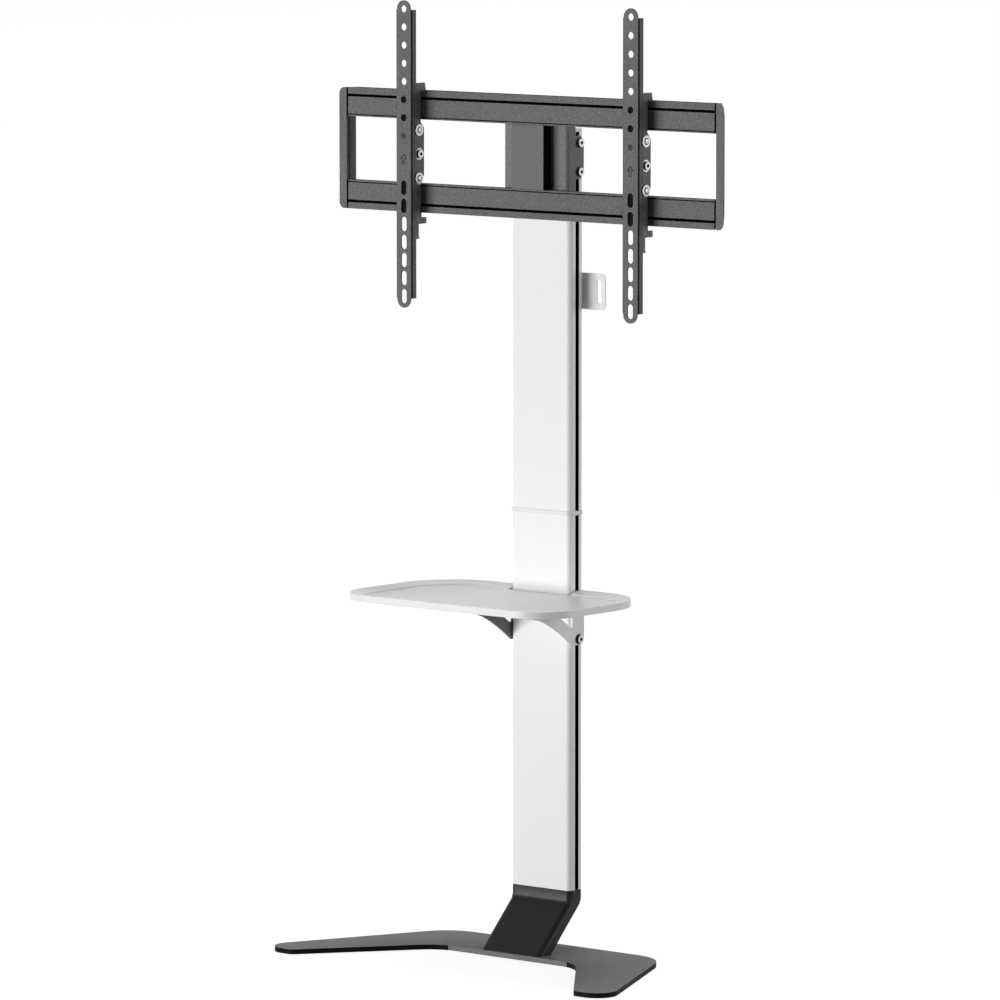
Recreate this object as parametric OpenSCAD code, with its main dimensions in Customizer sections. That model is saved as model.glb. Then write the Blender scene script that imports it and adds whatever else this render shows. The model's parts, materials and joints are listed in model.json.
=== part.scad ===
// Television stand with a height-adjustable head, millimetres.
// z 0 is the floor, y 0 the front face of the column, the front looks along -Y.

/* [Base] */
// Thickness of the rubber pads under the plate
pad_t = 2; // [1:0.5:5]
// Radius of the pads under the legs
pad_r = 12; // [8:1:14]
// Radius of the pad under the column
pad_mid_r = 15; // [10:1:20]
// Thickness of the base plate
plate_t = 7; // [5:0.5:12]
// Straight rear edge behind the column front
plate_rear_y = 36; // [34:1:60]
// Width of the plate ahead of the knee bracket's foot
plate_lip = 4.1; // [2:0.1:20]
// Front end of the legs, ahead of the column front
leg_front_y = 236; // [200:1:300]
// Half width of the outer edges level with the column front
leg_outer_x = 204; // [180:1:240]
// How far an outer edge spreads for each unit forward
leg_outer_share = 0.46; // [0.3:0.01:0.6]
// Half width of the inner edges level with the column front
leg_inner_x = 67; // [50:1:70]
// How far an inner edge spreads for each unit forward
leg_inner_share = 0.78; // [0.7:0.01:0.95]
// Rounding of the rear corners
rear_corner_r = 65; // [30:1:80]
// Rounding of the outer corner at the leg ends
tip_outer_r = 28; // [10:1:30]
// Rounding of the inner corner at the leg ends
tip_inner_r = 10; // [4:1:12]
// Rounding where the inner edges meet the front edge
crotch_r = 60; // [20:1:70]
// Pads under the legs, behind the leg ends
pad_tip_inset = 26; // [24:1:50]
// Pads at the rear, inside the outer edges
pad_side_inset = 61; // [50:1:90]
// Pads at the rear, ahead of the rear edge
pad_rear_inset = 26; // [20:1:36]

/* [Knee bracket] */
// Height of the top face
knee_top_z = 92.4; // [85:0.1:110]
// Upright part below the top face
knee_neck = 13.4; // [8:0.1:16]
// Height of the short run at the kink
kink_h = 7; // [4:0.5:20]
// How far the long run leans forward for each unit down
knee_lean_share = 1; // [0.84:0.01:1.03]
// How far the short run leans forward for each unit down
kink_lean_share = 0.414; // [0.2:0.001:0.6]
// Wall thickness of the casting
knee_wall = 4; // [3:0.5:5]
// Thickness of its roof
knee_roof = 6; // [4:0.5:8]
// Radius of the bosses for the base screws
boss_r = 6.5; // [5:0.1:7]
// Height of those bosses
boss_h = 16; // [10:1:18]
// Outer pair of bosses, half spacing
boss_out_x = 40; // [34:1:42]
// Inner pair of bosses, half spacing
boss_in_x = 16; // [10:1:22]
// Row of bosses, behind the front edge of the foot
boss_back = 21.9; // [20.5:0.1:23]

/* [Column] */
// Width of the column
column_w = 106; // [100:1:112]
// Depth of the column
column_d = 30; // [28:1:34]
// Radius of the long corners
column_r = 8; // [4:0.5:10]
// Wall of the extrusion
column_wall = 2; // [1.5:0.1:3]
// Length of each of the two sections
section_l = 520.5; // [500:0.5:600]
// Opening of the T-slots
slot_open = 7.5; // [7:0.1:9]
// Thickness of the slot lips
slot_lip = 2.5; // [2:0.1:3]
// Width of the slot behind the lips
slot_in_w = 15; // [13:0.1:16]
// Depth of the slot behind the lips
slot_in_d = 7; // [6:0.1:8]
// Height of the ring between the sections
ring_h = 6; // [4:0.5:10]
// How far the ring stands proud all round
ring_proud = 1.4; // [0.5:0.1:3]
// Thickness of the top cap
top_cap_t = 5; // [3:0.5:8]
// Length of the plugs under the top cap
top_plug_l = 14; // [8:1:20]
// Screw ports, half spacing
port_x = 31; // [30:0.5:34]
// Screw ports, distance from the front and the rear face
port_y = 10; // [8:0.5:11]
// Outer radius of a screw port
port_r = 4.5; // [4:0.1:5]
// Thickness of the ribs through the ports
rib_t = 2; // [1.5:0.1:3]
// Joining bars, half spacing
bar_x = 18; // [17.5:0.1:18.5]
// Width of a joining bar
bar_w = 12; // [8:0.5:13]
// Depth of a joining bar
bar_d = 12; // [8:0.5:13]
// Length of a joining bar
bar_l = 120; // [60:1:200]
// Distance of a set screw from its section's end
set_screw_z = 25; // [12:1:50]
// Thickness of the wall where the set screws sit
set_pad_t = 5; // [4:0.5:6]

/* [Shelf] */
// Half width of the tray
tray_half_w = 190; // [170:1:220]
// Front edge of the tray, ahead of the column front
tray_front_y = 219; // [190:1:260]
// Rear edge of the tray, behind the column front
tray_rear_y = 20.6; // [10:0.1:24]
// Underside of the tray above the knee bracket
tray_up = 407.5; // [380:0.1:430]
// Height of the rim
tray_h = 9.7; // [8:0.1:14]
// Thickness of the tray's floor
tray_floor = 4; // [4:0.1:5]
// Height of the step at the rim's inner edge
tray_step = 1.6; // [1:0.1:2.5]
// Width of the rim
rim_w = 21; // [15:1:35]
// Flat outer part of the rim
rim_flat = 7; // [3:0.5:12]
// Corner rounding at the front
tray_front_r = 60; // [40:1:80]
// Corner rounding at the rear
tray_rear_r = 89; // [60:1:110]
// Gap between tray and column
tray_gap = 2; // [1:0.5:4]
// Thickness of the shelf brackets
shelf_sheet = 3; // [2:0.5:3.5]
// Length of the bracket under the tray, ahead of the column front
gusset_y = 100; // [80:1:150]
// Depth of the bracket below the tray, at the column
gusset_h = 66; // [64:1:90]
// Depth of the bracket at its front end
gusset_tip_h = 20; // [8:0.5:24]
// Front end of the bracket's foot, behind the column front
gusset_foot_y = 2; // [0:0.5:6]
// Rear edge of the bracket, behind the column front
gusset_rear_y = 27; // [23:0.5:29]
// Rounding of the lower rear corner of the bracket
gusset_foot_r = 11; // [4:0.5:14]
// Width of the flange under the tray
flange_w = 20; // [16:1:30]
// Lower bolts below the tray
shelf_bolt_low = 58; // [50:1:58]
// Upper bolts below the tray
shelf_bolt_high = 18; // [14:1:24]
// Lowest point of the window in the bracket, below the tray
window_low = 43.5; // [36:0.5:46]
// Top of the window, below the tray
window_top = 12; // [8:0.5:20]
// Rear edge of the window, behind the column front
window_y = 1.5; // [0:0.5:3]
// How far the window's front edge rises for each unit forward
window_share = 0.7; // [0.6:0.01:1]
// Rounding of the window's corners
window_r = 1.5; // [0.5:0.1:2]
// Front screw of a bracket, ahead of the column front
tray_screw_front_y = 75; // [40:1:80]
// Rear screw of a bracket, ahead of the column front
tray_screw_rear_y = 12; // [8:1:30]
// Thread length of those screws in the tray
tray_thread = 2.5; // [2:0.1:2.8]

/* [Cable holder] */
// Middle of the holder below the column's end
holder_down = 218.4; // [200:0.1:240]
// Height of the holder
holder_h = 50; // [44:1:60]
// Outer end, to the right of the column's middle
holder_x = 89.8; // [84:0.1:100]
// Inner end, to the left of the column's middle
holder_in_x = 14; // [10:1:20]
// Thickness of the sheet
holder_t = 2; // [1.5:0.1:3]
// Rounding of the corners
holder_r = 8; // [3:0.5:10]
// Length of its cable slot
holder_slot_l = 33.2; // [20:0.1:36]
// Width of its cable slot
holder_slot_w = 7.8; // [6:0.1:10]
// Middle of the slot from the outer end
holder_slot_x = 10.9; // [9:0.1:14]

/* [Head] */
// Middle of the head below the column's end
head_down = 34.55; // [33:0.05:44]
// Height of the head over both rails
head_h = 168.9; // [160:0.1:180]
// Height of a rail
rail_h = 40; // [38:0.5:42]
// Half length of a rail
rail_half_l = 323.3; // [280:0.1:360]
// Front face of the rails, ahead of the column front
rail_face_y = 28; // [27:0.5:30]
// Depth of the rails
rail_d = 17; // [16:0.5:18]
// Height of the closed box at a rail's inner side
rail_box_h = 28; // [26:0.5:28]
// Wall of the rails
rail_wall = 2; // [1.5:0.1:2.5]
// Rear wall of the rails
rail_rear_wall = 3; // [2:0.5:4]
// Front lip that the carriers hook behind
rail_lip = 2; // [2:0.1:2.5]
// Decorative groove, from the outer edge to its middle
groove_z = 10.7; // [8:0.1:11]
// Width of that groove
groove_w = 3.8; // [2:0.1:4]
// Depth of that groove
groove_d = 0.8; // [0.4:0.1:1]
// Fine line, from the inner edge to its middle
fine_z = 2.6; // [2:0.1:4]
// Width of the fine line
fine_w = 1.4; // [0.4:0.1:2]
// Depth of the fine line
fine_d = 0.4; // [0.2:0.1:0.8]
// Thickness of the bracket round the column
wing_t = 3; // [2:0.5:3.5]
// Inner radius of the bracket's bends
wing_bend_r = 2; // [0.5:0.5:4]
// Gap between bracket and column
wing_gap = 0.3; // [0.2:0.1:1]
// Ends of the bracket inside the rails' outer edges
wing_inset = 3.45; // [2:0.05:20]
// Rear edge of the wings, behind the column front
wing_y = 7; // [4:0.5:10]
// Rear edge of the lobes that take the bolts
lobe_y = 25; // [22:0.5:29]
// Height of the lobes
lobe_h = 58.7; // [54:0.1:70]
// Chamfer of the lobes
lobe_chamfer = 7; // [2:0.5:9]
// Spacing of the two bolts of a side
head_bolt_pitch = 39.6; // [30:0.1:44]
// Half width of the cover box
cover_half_w = 28; // [20:1:40]
// Wall of the cover box
cover_wall = 2; // [1.5:0.1:3]
// Radius of the screw bosses in the cover box
cover_boss_r = 4; // [3.5:0.1:5]
// Rail screws, half spacing
rail_screw_x = 40; // [36:1:44]
// Cover screws inside the rails' inner edges
cover_screw_inset = 19.45; // [15:0.05:29]
// Length of an end cap outside its joint
cap_l = 13.3; // [10:0.1:30]
// Thickness of the front edge of an end cap, before its side slopes inward
cap_edge_t = 1.2; // [1:0.1:6]
// Length of an end cap past its joint at the rear
cap_rear_l = 1.4; // [1:0.1:8]
// Recessed joint between rail and end cap
cap_joint_w = 2.9; // [1:0.1:4]
// Depth of that joint
cap_joint_d = 6; // [3:0.5:8]
// Rounding of the cap's corners
cap_r = 9; // [2:0.5:9.5]
// Length of the plugs in the rails
cap_plug_l = 25; // [15:1:40]
// Cap screws, from the end of the rail
cap_screw_x = 13; // [8:1:16]

/* [Arms] */
// Half distance between the two arms
arm_x = 200; // [100:1:280]
// Width of an arm
arm_w = 28.4; // [27:0.1:30]
// Front face of the arms, ahead of the column front
arm_face_y = 53.5; // [53:0.5:56]
// Depth of the arm channel
arm_d = 10; // [9:0.1:11.7]
// Depth of the channel's left flange
arm_left_d = 7; // [4:0.1:9]
// Sheet thickness of the arm
arm_t = 1.8; // [1.5:0.1:2]
// Radius of the arm's front edges
arm_r = 2.2; // [1:0.1:3]
// Lowest point of an arm below its pivot
arm_down = 212.4; // [205:0.1:240]
// Highest point of an arm above its pivot
arm_up = 212.2; // [200:0.1:240]
// End of the side flanges, from the lowest and highest points
arm_tab_h = 13; // [10:0.5:15]
// Width of the end tabs
arm_tab_w = 24; // [21:0.1:24]
// Rounding of the end tabs
arm_tab_r = 11.9; // [2:0.1:12]
// Topmost round hole below the arm's highest point
hole_inset = 11.8; // [9:0.1:15]
// Pitch of the holes and slots
hole_pitch = 25; // [24:0.5:26]
// Number of round holes
hole_count = 7; // [3:1:7]
// Radius of a round hole
hole_r = 4.95; // [3.5:0.05:5]
// Lowest slot above the arm's lowest point
slot_inset = 16; // [15:0.1:24]
// Number of slots
slot_count = 7; // [3:1:7]
// Length of a slot
slot_l = 20; // [14:0.5:20]
// Width of a slot
slot_w = 9.5; // [8:0.1:10]
// Blind dimple above the pivot
dimple_up = 25.1; // [24:0.1:32]
// Radius of the dimple
dimple_r = 4.2; // [3:0.1:5]
// Depth of the dimple and of the arrow mark
mark_d = 0.6; // [0.3:0.1:1]
// Tip of the arrow mark above the pivot
arrow_up = 0.5; // [0:0.5:12]
// Length of the arrow mark
arrow_l = 14.4; // [12:0.1:16]
// Height of the arrow head
arrow_head_h = 6.8; // [5:0.1:8]
// Width of the arrow head
arrow_w = 11.6; // [8:0.1:13]
// Width of the arrow's stem
arrow_stem_w = 4.6; // [3:0.1:6]
// Width of the engraved line that draws the arrow
arrow_line = 1; // [0.5:0.1:1.2]

/* [Carriers and latches] */
// Tilt pivot below the middle of the head
pivot_down = 2.85; // [2:0.05:5]
// Tilt pivot, ahead of the column front
pivot_y = 33.5; // [33:0.1:34]
// How far an arm can lean either way for each unit up
tilt_share = 0.0875; // [0.03:0.0005:0.0875]
// Thickness of carriers, latches and tilt brackets
carrier_t = 2.5; // [2:0.1:2.5]
// Inner face of the carrier, to the right of the arm's middle
carrier_x = 7.5; // [7.2:0.1:7.5]
// Top of the carrier above the rail
hook_top = 10.7; // [8:0.1:12]
// Depth of the hooks in the rails
hook_depth = 5.8; // [4:0.1:7]
// Thickness of the latch's hook
hook_t = 1.8; // [1.5:0.1:3]
// Thickness of the carrier's hook
carrier_hook_t = 8.2; // [4:0.1:9]
// How far the hook's rear edge leans forward above the rail
hook_lean = 2.2; // [0:0.1:4]
// Front edge of the carrier's ends, ahead of the column front
carrier_end_y = 40.2; // [38:0.1:40.5]
// Front edge of the carrier at the pivot, ahead of the column front
carrier_mid_y = 49; // [46:0.1:49.5]
// Rear edge of the carrier between the rails, ahead of the column front
carrier_rear_y = 21.7; // [18:0.1:27]
// Half height of the carrier's front edge at the pivot
carrier_flat_h = 17; // [10:0.5:20]
// Distance of the carrier's wide part from the rails
carrier_step = 3; // [2:0.1:4]
// Height of the bevel at the wide part
carrier_bevel = 9; // [4:0.5:10]
// Guide pins inside the rails' inner edges, in height
guide_inset = 11.15; // [10.6:0.05:16]
// Guide pins, ahead of the pivot
guide_y = 5.2; // [2:0.1:6]
// Radius of the guide pins
guide_r = 2.5; // [2:0.1:2.8]
// Radius of the flat guide pin heads
guide_head_r = 8.2; // [6:0.1:8.3]
// Thickness of the guide pin heads
guide_head_h = 1.7; // [1:0.1:2.4]
// Radius of the dome on a guide pin head
guide_dome_r = 4.7; // [3:0.1:6]
// Height of that dome
guide_dome_h = 1.5; // [1:0.1:2.5]
// Radius of the riveted ends of the guide pins
guide_foot_r = 4; // [3.2:0.1:4.4]
// Half height of the tilt bracket's ear where it leaves the arm
tilt_foot_h = 23.6; // [15:0.1:28]
// Top of the tilt bracket's plate on the arm, above the pivot
tilt_plate_up = 84; // [60:1:90]
// Lower end of that plate, below the pivot
tilt_plate_down = 84; // [60:1:86]
// Width of the tilt bracket outside the guide pins
tilt_edge = 2.4; // [1.5:0.1:3]
// Front edge of the tilt bracket's ends, ahead of the column front
tilt_end_y = 42.6; // [41:0.1:45]
// Rear corners of the tilt bracket, ahead of the column front
tilt_corner_y = 31; // [29:0.1:33]
// Rear edge of the tilt bracket, ahead of the column front
tilt_rear_y = 27.4; // [26:0.1:28]
// Latch strip, distance that it hangs below the rail
latch_drop = 36.4; // [30:0.1:37]
// Travel of the latch
latch_travel = 8; // [7:0.5:8.5]
// Height of the latch tab's underside below the rail
latch_tab_z = 15.8; // [12:0.1:16]
// Height of the latch tab
latch_tab_h = 8.9; // [5:0.1:9]
// Rear end of the latch tab, ahead of the column front
latch_tab_y = 13.5; // [12:0.1:21]
// Rear edge of the latch neck, ahead of the column front
latch_neck_y = 29; // [28.6:0.1:31]
// Rear edge of the latch strip, ahead of the column front
latch_strip_y = 29.8; // [29:0.1:31]
// Width of the latch strip
latch_strip_w = 5.4; // [3:0.1:8]
// Depth of the foot at its lower end
latch_foot = 1.3; // [0.5:0.1:3]
// Height of that foot
latch_foot_h = 2.4; // [1:0.1:4]
// Rounding of the latch tab
latch_r = 1.5; // [0.5:0.1:2.4]
// Top of the latch above the rail's underside
neck_top = 38.6; // [38:0.1:40]
// Lower rivet above the rail's underside
rivet_low = 7.6; // [7:0.1:9]
// Distance of the two rivets
rivet_pitch = 18; // [16:0.5:19]
// Rivets, ahead of the column front
rivet_y = 36; // [35:0.1:36.5]
// Radius of a rivet
rivet_r = 2; // [1.5:0.1:2.2]
// Radius of a rivet's head
rivet_head_r = 3.4; // [3:0.1:3.6]
// Height of the heads of rivets and guide pins on the inner side
rivet_head_h = 1.5; // [1:0.1:1.5]

/* [Screws] */
// Radius of the base screws
base_screw_r = 3; // [2.5:0.1:3.2]
// Radius of their heads
base_head_r = 6; // [5:0.1:6.5]
// Height of their countersunk heads
base_head_h = 3; // [2:0.1:4]
// Thread length in the knee bracket
base_thread = 14; // [8:1:15]
// Radius of the column screws
column_screw_r = 2.5; // [2:0.1:2.8]
// Radius of their heads
column_head_r = 4.5; // [4:0.1:5]
// Height of their heads
column_head_h = 3; // [2:0.1:4]
// Thread length in the column
column_thread = 24; // [15:1:35]
// Radius of the set screws
set_screw_r = 3; // [2.5:0.1:4]
// Radius of the slot bolts
bolt_r = 3; // [2.5:0.1:3.4]
// Radius of the slot bolt heads
bolt_head_r = 6; // [5:0.1:6.5]
// Height of the slot bolt heads
bolt_head_h = 3.4; // [2.5:0.1:7]
// Radius of the washers
washer_r = 7; // [6.5:0.1:8]
// Thickness of the washers
washer_t = 1.2; // [1:0.1:2]
// Length of the slot nuts
nut_l = 18; // [12:0.5:20]
// Thickness of the slot nuts
nut_t = 5.5; // [4:0.1:6]
// Radius of the small screws
small_r = 2; // [1.5:0.1:2]
// Radius of the small screw heads
small_head_r = 3.8; // [3:0.1:4]
// Height of the small screw heads
small_head_h = 2.4; // [1.5:0.1:3]
// Thread length of the small screws
small_thread = 9; // [6:0.5:10]
// Thread length of the rail screws
rail_thread = 8; // [6:0.5:10]
// Height of the rail screw heads
rail_head_h = 3.5; // [2:0.1:5]
// Radius of the rail screw heads
rail_head_r = 5; // [4:0.1:6]
// Radius of the tilt pivot
pivot_r = 4; // [3:0.1:4.5]
// Radius of the pivot washer
pivot_washer_r = 8.2; // [7:0.1:8.3]
// Height of the pivot bolt head
pivot_head_h = 3.5; // [3:0.1:6]
// Thickness of the pivot nut
pivot_nut_t = 6; // [4:0.5:7]
// Radius of the pivot nut over its corners
pivot_nut_r = 7.5; // [6.5:0.1:7.6]
// Size of a hexagon socket against its head
socket_share = 0.44; // [0.35:0.01:0.6]
// Depth of a hexagon socket against the height of its head
depth_share = 0.5; // [0.3:0.01:0.6]

/* [Hidden] */

$fn = 48;
// Steps of a rounded outline corner
round_steps = 8;
// Overrun of every cut
over = 1;
// Gap between pieces that move past each other
gap = 0.3;
// Gap between a screw and its hole, a pin and its bore
fit = 0.05;
// Play of a screw in a clearance hole
play = 0.4;
// Size that clears the whole object
span = 2000;
// Sides of a hexagon
hex = 6;
// Chamfer of edges that are struck or cast
edge = 0.8;

plate_top = pad_t + plate_t;
kink_top_z = knee_top_z - knee_neck;
kink_low_z = kink_top_z - kink_h;
foot_y = kink_h * kink_lean_share + (kink_low_z - plate_top) * knee_lean_share;
plate_front_y = foot_y + plate_lip;
boss_y = foot_y - boss_back;
pad_tip_y = leg_front_y - pad_tip_inset;
pad_tip_x = (outer_edge_x(pad_tip_y) + inner_edge_x(pad_tip_y)) / 2;
pad_rear_x = leg_outer_x - pad_side_inset;
pad_rear_y = plate_rear_y - pad_rear_inset;
joint_low_z = knee_top_z + section_l;
joint_top_z = joint_low_z + ring_h;
column_end_z = joint_top_z + section_l;
joint_mid_z = joint_low_z + ring_h / 2;
slot_y = column_d / 2;
slot_deep = slot_lip + slot_in_d;
slot_bottom_x = column_w / 2 - slot_deep;
wing_in = column_w / 2 + wing_gap;
wing_out = wing_in + wing_t;
web_front_y = rail_face_y - rail_d;
web_rear_y = web_front_y - wing_t;
head_z = column_end_z - head_down;
holder_z = column_end_z - holder_down;
tray_z = knee_top_z + tray_up;
wing_h = head_h - 2 * wing_inset;
rail_top_z = head_z + head_h / 2;
rail_low_z = head_z - head_h / 2;
rail_gap_h = head_h - 2 * rail_h;
box_mid_z = rail_gap_h / 2 + rail_box_h / 2;
cover_screw_z = rail_gap_h / 2 - cover_screw_inset;
pivot_z = head_z - pivot_down;
guide_z = rail_gap_h / 2 - guide_inset;
tilt_max = atan(tilt_share);
arm_low_z = pivot_z - arm_down;
arm_top_z = pivot_z + arm_up;
hole_top_z = arm_top_z - hole_inset;
slot_low_z = arm_low_z + slot_inset;
dimple_z = pivot_z + dimple_up;
arrow_top_z = pivot_z + arrow_up;
tray_floor_z = tray_z + tray_floor;
tray_top_z = tray_z + tray_h;
arm_inner = arm_w / 2 - arm_t;
ear_x = carrier_x - gap - carrier_t;
carrier_face = carrier_x + carrier_t;
lip_rear_y = rail_face_y - rail_lip;
hook_y = lip_rear_y - gap;
pins_radius = norm([guide_y, guide_z]);
latch_low_z = rail_low_z - latch_drop;
tab_low_z = rail_low_z - latch_tab_z;
tab_top_z = tab_low_z + latch_tab_h;
rivet_low_z = rail_low_z + rivet_low;
rivet_top_z = rivet_low_z + rivet_pitch;
neck_top_z = rail_low_z + neck_top;
joint_x = rail_half_l + cap_joint_w;
cap_end_x = joint_x + cap_l;
cap_edge_y = -rail_face_y + cap_edge_t;

function unit(v) = v / norm(v);
function cross_z(a, b) = a[0] * b[1] - a[1] * b[0];

// Points of one corner b between a and c, rounded to radius r
function corner(a, b, c, r) =
    let (
        u = unit(a - b),
        v = unit(c - b),
        half = acos(max(-1, min(1, u * v))) / 2,
        mid = b + unit(u + v) * r / sin(half),
        from = b + u * r / tan(half) - mid,
        turn = 2 * asin(cos(half)) * (cross_z(u, v) > 0 ? -1 : 1)
    )
    [for (i = [0 : round_steps])
        let (t = turn * i / round_steps)
        mid + [
            from[0] * cos(t) - from[1] * sin(t),
            from[0] * sin(t) + from[1] * cos(t)
        ]
    ];

// A closed outline whose points are [x, y, radius]
function rounded(list) =
    let (n = len(list))
    [for (i = [0 : n - 1])
        let (
            p = list[(i + n - 1) % n],
            q = list[i],
            s = list[(i + 1) % n]
        )
        each (q[2] > 0
            ? corner([p[0], p[1]], [q[0], q[1]], [s[0], s[1]], q[2])
            : [[q[0], q[1]]])
    ];

// Outline of the column's cross-section, squeezed in depth by share
function section_points(w, d, r, share) =
    [for (p = rounded([
        [w / 2, d / 2, r], [-w / 2, d / 2, r],
        [-w / 2, -d / 2, r], [w / 2, -d / 2, r]
    ])) [p[0], p[1] * share]];

function outer_edge_x(y) = leg_outer_x + leg_outer_share * y;
function inner_edge_x(y) = leg_inner_x + leg_inner_share * y;

// Right half of the base outline, from the rear to the front edge
function base_half() = [
    [outer_edge_x(-plate_rear_y), plate_rear_y, rear_corner_r],
    [outer_edge_x(leg_front_y), -leg_front_y, tip_outer_r],
    [inner_edge_x(leg_front_y), -leg_front_y, tip_inner_r],
    [inner_edge_x(plate_front_y), -plate_front_y, crotch_r]
];

function mirrored(list) =
    [for (i = [len(list) - 1 : -1 : 0]) [-list[i][0], list[i][1], list[i][2]]];

function tray_outline(inset) = rounded([
    [tray_half_w - inset, tray_rear_y - inset, tray_rear_r - inset],
    [tray_half_w - inset, -tray_front_y + inset, tray_front_r - inset],
    [-tray_half_w + inset, -tray_front_y + inset, tray_front_r - inset],
    [-tray_half_w + inset, tray_rear_y - inset, tray_rear_r - inset]
]);

// A flat shape drawn in y and z, made solid from x over length l
module along_x(x, l) {
    translate([x, 0, 0])
        rotate([90, 0, 90])
            linear_extrude(l)
                children();
}

// A box given by its corners
module block(a, b) {
    translate(a)
        cube(b - a);
}

// A hole or rod from x over length l
module rod_x(x, y, z, r, l) {
    translate([x, y, z])
        rotate([0, 90, 0])
            cylinder(r = r, h = l);
}

// A hole or rod that runs rearward from y over length l
module rod_y(x, y, z, r, l) {
    translate([x, y, z])
        rotate([-90, 0, 0])
            cylinder(r = r, h = l);
}

// A round-ended slot through a plate that faces the front
module slot_y_cut(x, y, z, w, l, t) {
    block([x - w / 2, y, z - (l - w) / 2], [x + w / 2, y + t, z + (l - w) / 2]);
    for (end = [-1, 1])
        rod_y(x, y, z + end * (l - w) / 2, w / 2, t);
}

// Cap screw standing on z 0, its shank pointing down
module cap_screw(head_r, head_h, shank_r, shank_l) {
    difference() {
        union() {
            cylinder(r = head_r, h = head_h - edge / 2);
            translate([0, 0, head_h - edge / 2])
                cylinder(r1 = head_r, r2 = head_r - edge / 2, h = edge / 2);
            translate([0, 0, -shank_l])
                cylinder(r = shank_r, h = shank_l + over);
        }
        translate([0, 0, head_h * (1 - depth_share)])
            cylinder(r = head_r * socket_share, h = head_h, $fn = hex);
    }
}

module column_outline(grow) {
    translate([0, column_d / 2])
        polygon(section_points(
            column_w + 2 * grow, column_d + 2 * grow, column_r + grow, 1
        ));
}

module column_profile() {
    difference() {
        union() {
            difference() {
                column_outline(0);
                column_outline(-column_wall);
            }
            intersection() {
                column_outline(0);
                union() {
                    for (side = [-1, 1])
                        translate([
                            side * (slot_bottom_x - column_wall + slot_deep / 2
                                + column_wall / 2),
                            slot_y
                        ])
                            square([
                                slot_deep + column_wall, slot_in_w + 2 * column_wall
                            ], center = true);
                    translate([
                        -slot_in_w / 2 - column_wall,
                        column_d - slot_deep - column_wall
                    ])
                        square([
                            slot_in_w + 2 * column_wall, slot_deep + column_wall
                        ]);
                    for (side = [-1, 1]) {
                        translate([side * port_x - rib_t / 2, 0])
                            square([rib_t, column_d]);
                        translate([side * bar_x - bar_w / 2, column_d - set_pad_t])
                            square([bar_w, set_pad_t]);
                        for (y = [port_y, column_d - port_y])
                            translate([side * port_x, y])
                                circle(r = port_r);
                    }
                }
            }
        }
        for (side = [-1, 1]) {
            translate([side * (column_w / 2 - slot_lip / 2 + over / 2), slot_y])
                square([slot_lip + over + fit, slot_open], center = true);
            translate([side * (slot_bottom_x + slot_in_d / 2), slot_y])
                square([slot_in_d, slot_in_w], center = true);
            for (y = [port_y, column_d - port_y])
                translate([side * port_x, y])
                    circle(r = column_screw_r + fit);
        }
        translate([-slot_open / 2, column_d - slot_lip - fit])
            square([slot_open, slot_lip + over]);
        translate([-slot_in_w / 2, column_d - slot_deep])
            square([slot_in_w, slot_in_d]);
    }
}

module base_plate() {
    color("#4b4c4e")
        difference() {
            translate([0, 0, pad_t])
                linear_extrude(plate_t)
                    polygon(rounded(concat(base_half(), mirrored(base_half()))));
            for (x = [-boss_out_x, -boss_in_x, boss_in_x, boss_out_x])
                translate([x, -boss_y, pad_t]) {
                    translate([0, 0, -over])
                        cylinder(r = base_screw_r + play, h = plate_t + 2 * over);
                    cylinder(r1 = base_head_r + fit, r2 = base_screw_r + play,
                        h = base_head_h + fit);
                    translate([0, 0, -over])
                        cylinder(r = base_head_r + fit, h = over);
                }
        }
}

module foot_pads() {
    color("#1c1c1d") {
        cylinder(r = pad_mid_r, h = pad_t);
        for (side = [-1, 1]) {
            translate([side * pad_tip_x, -pad_tip_y, 0])
                cylinder(r = pad_r, h = pad_t);
            translate([side * pad_rear_x, pad_rear_y, 0])
                cylinder(r = pad_r, h = pad_t);
        }
    }
}

module base_screws() {
    color("#a8a9ab")
        for (x = [-boss_out_x, -boss_in_x, boss_in_x, boss_out_x])
            translate([x, -boss_y, pad_t])
                difference() {
                    union() {
                        cylinder(r1 = base_head_r, r2 = base_screw_r, h = base_head_h);
                        cylinder(r = base_screw_r, h = plate_t + base_thread);
                    }
                    translate([0, 0, -over])
                        cylinder(r = base_head_r * socket_share,
                            h = over + base_head_h * depth_share, $fn = hex);
                }
}

// One run of the bracket: its section follows a line that leans forward going down
module knee_run(low_z, top_z, top_y, lean_share, w, d, r) {
    lean = atan(lean_share);
    drop = (top_z - low_z) * lean_share;
    intersection() {
        translate([0, top_y - drop, low_z])
            rotate([-lean, 0, 0])
                translate([0, 0, -column_d])
                    linear_extrude((top_z - low_z) / cos(lean) + 2 * column_d)
                        polygon(section_points(w, d, r, cos(lean)));
        block([-span, -span, low_z], [span, span, top_z]);
    }
}

module knee_body(inset, low_z, top_z) {
    w = column_w - 2 * inset;
    d = column_d - 2 * inset;
    r = column_r - inset;
    knee_run(kink_top_z, top_z, slot_y, 0, w, d, r);
    knee_run(kink_low_z, kink_top_z, slot_y, kink_lean_share, w, d, r);
    knee_run(low_z, kink_low_z, slot_y - kink_h * kink_lean_share,
        knee_lean_share, w, d, r);
}

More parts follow.
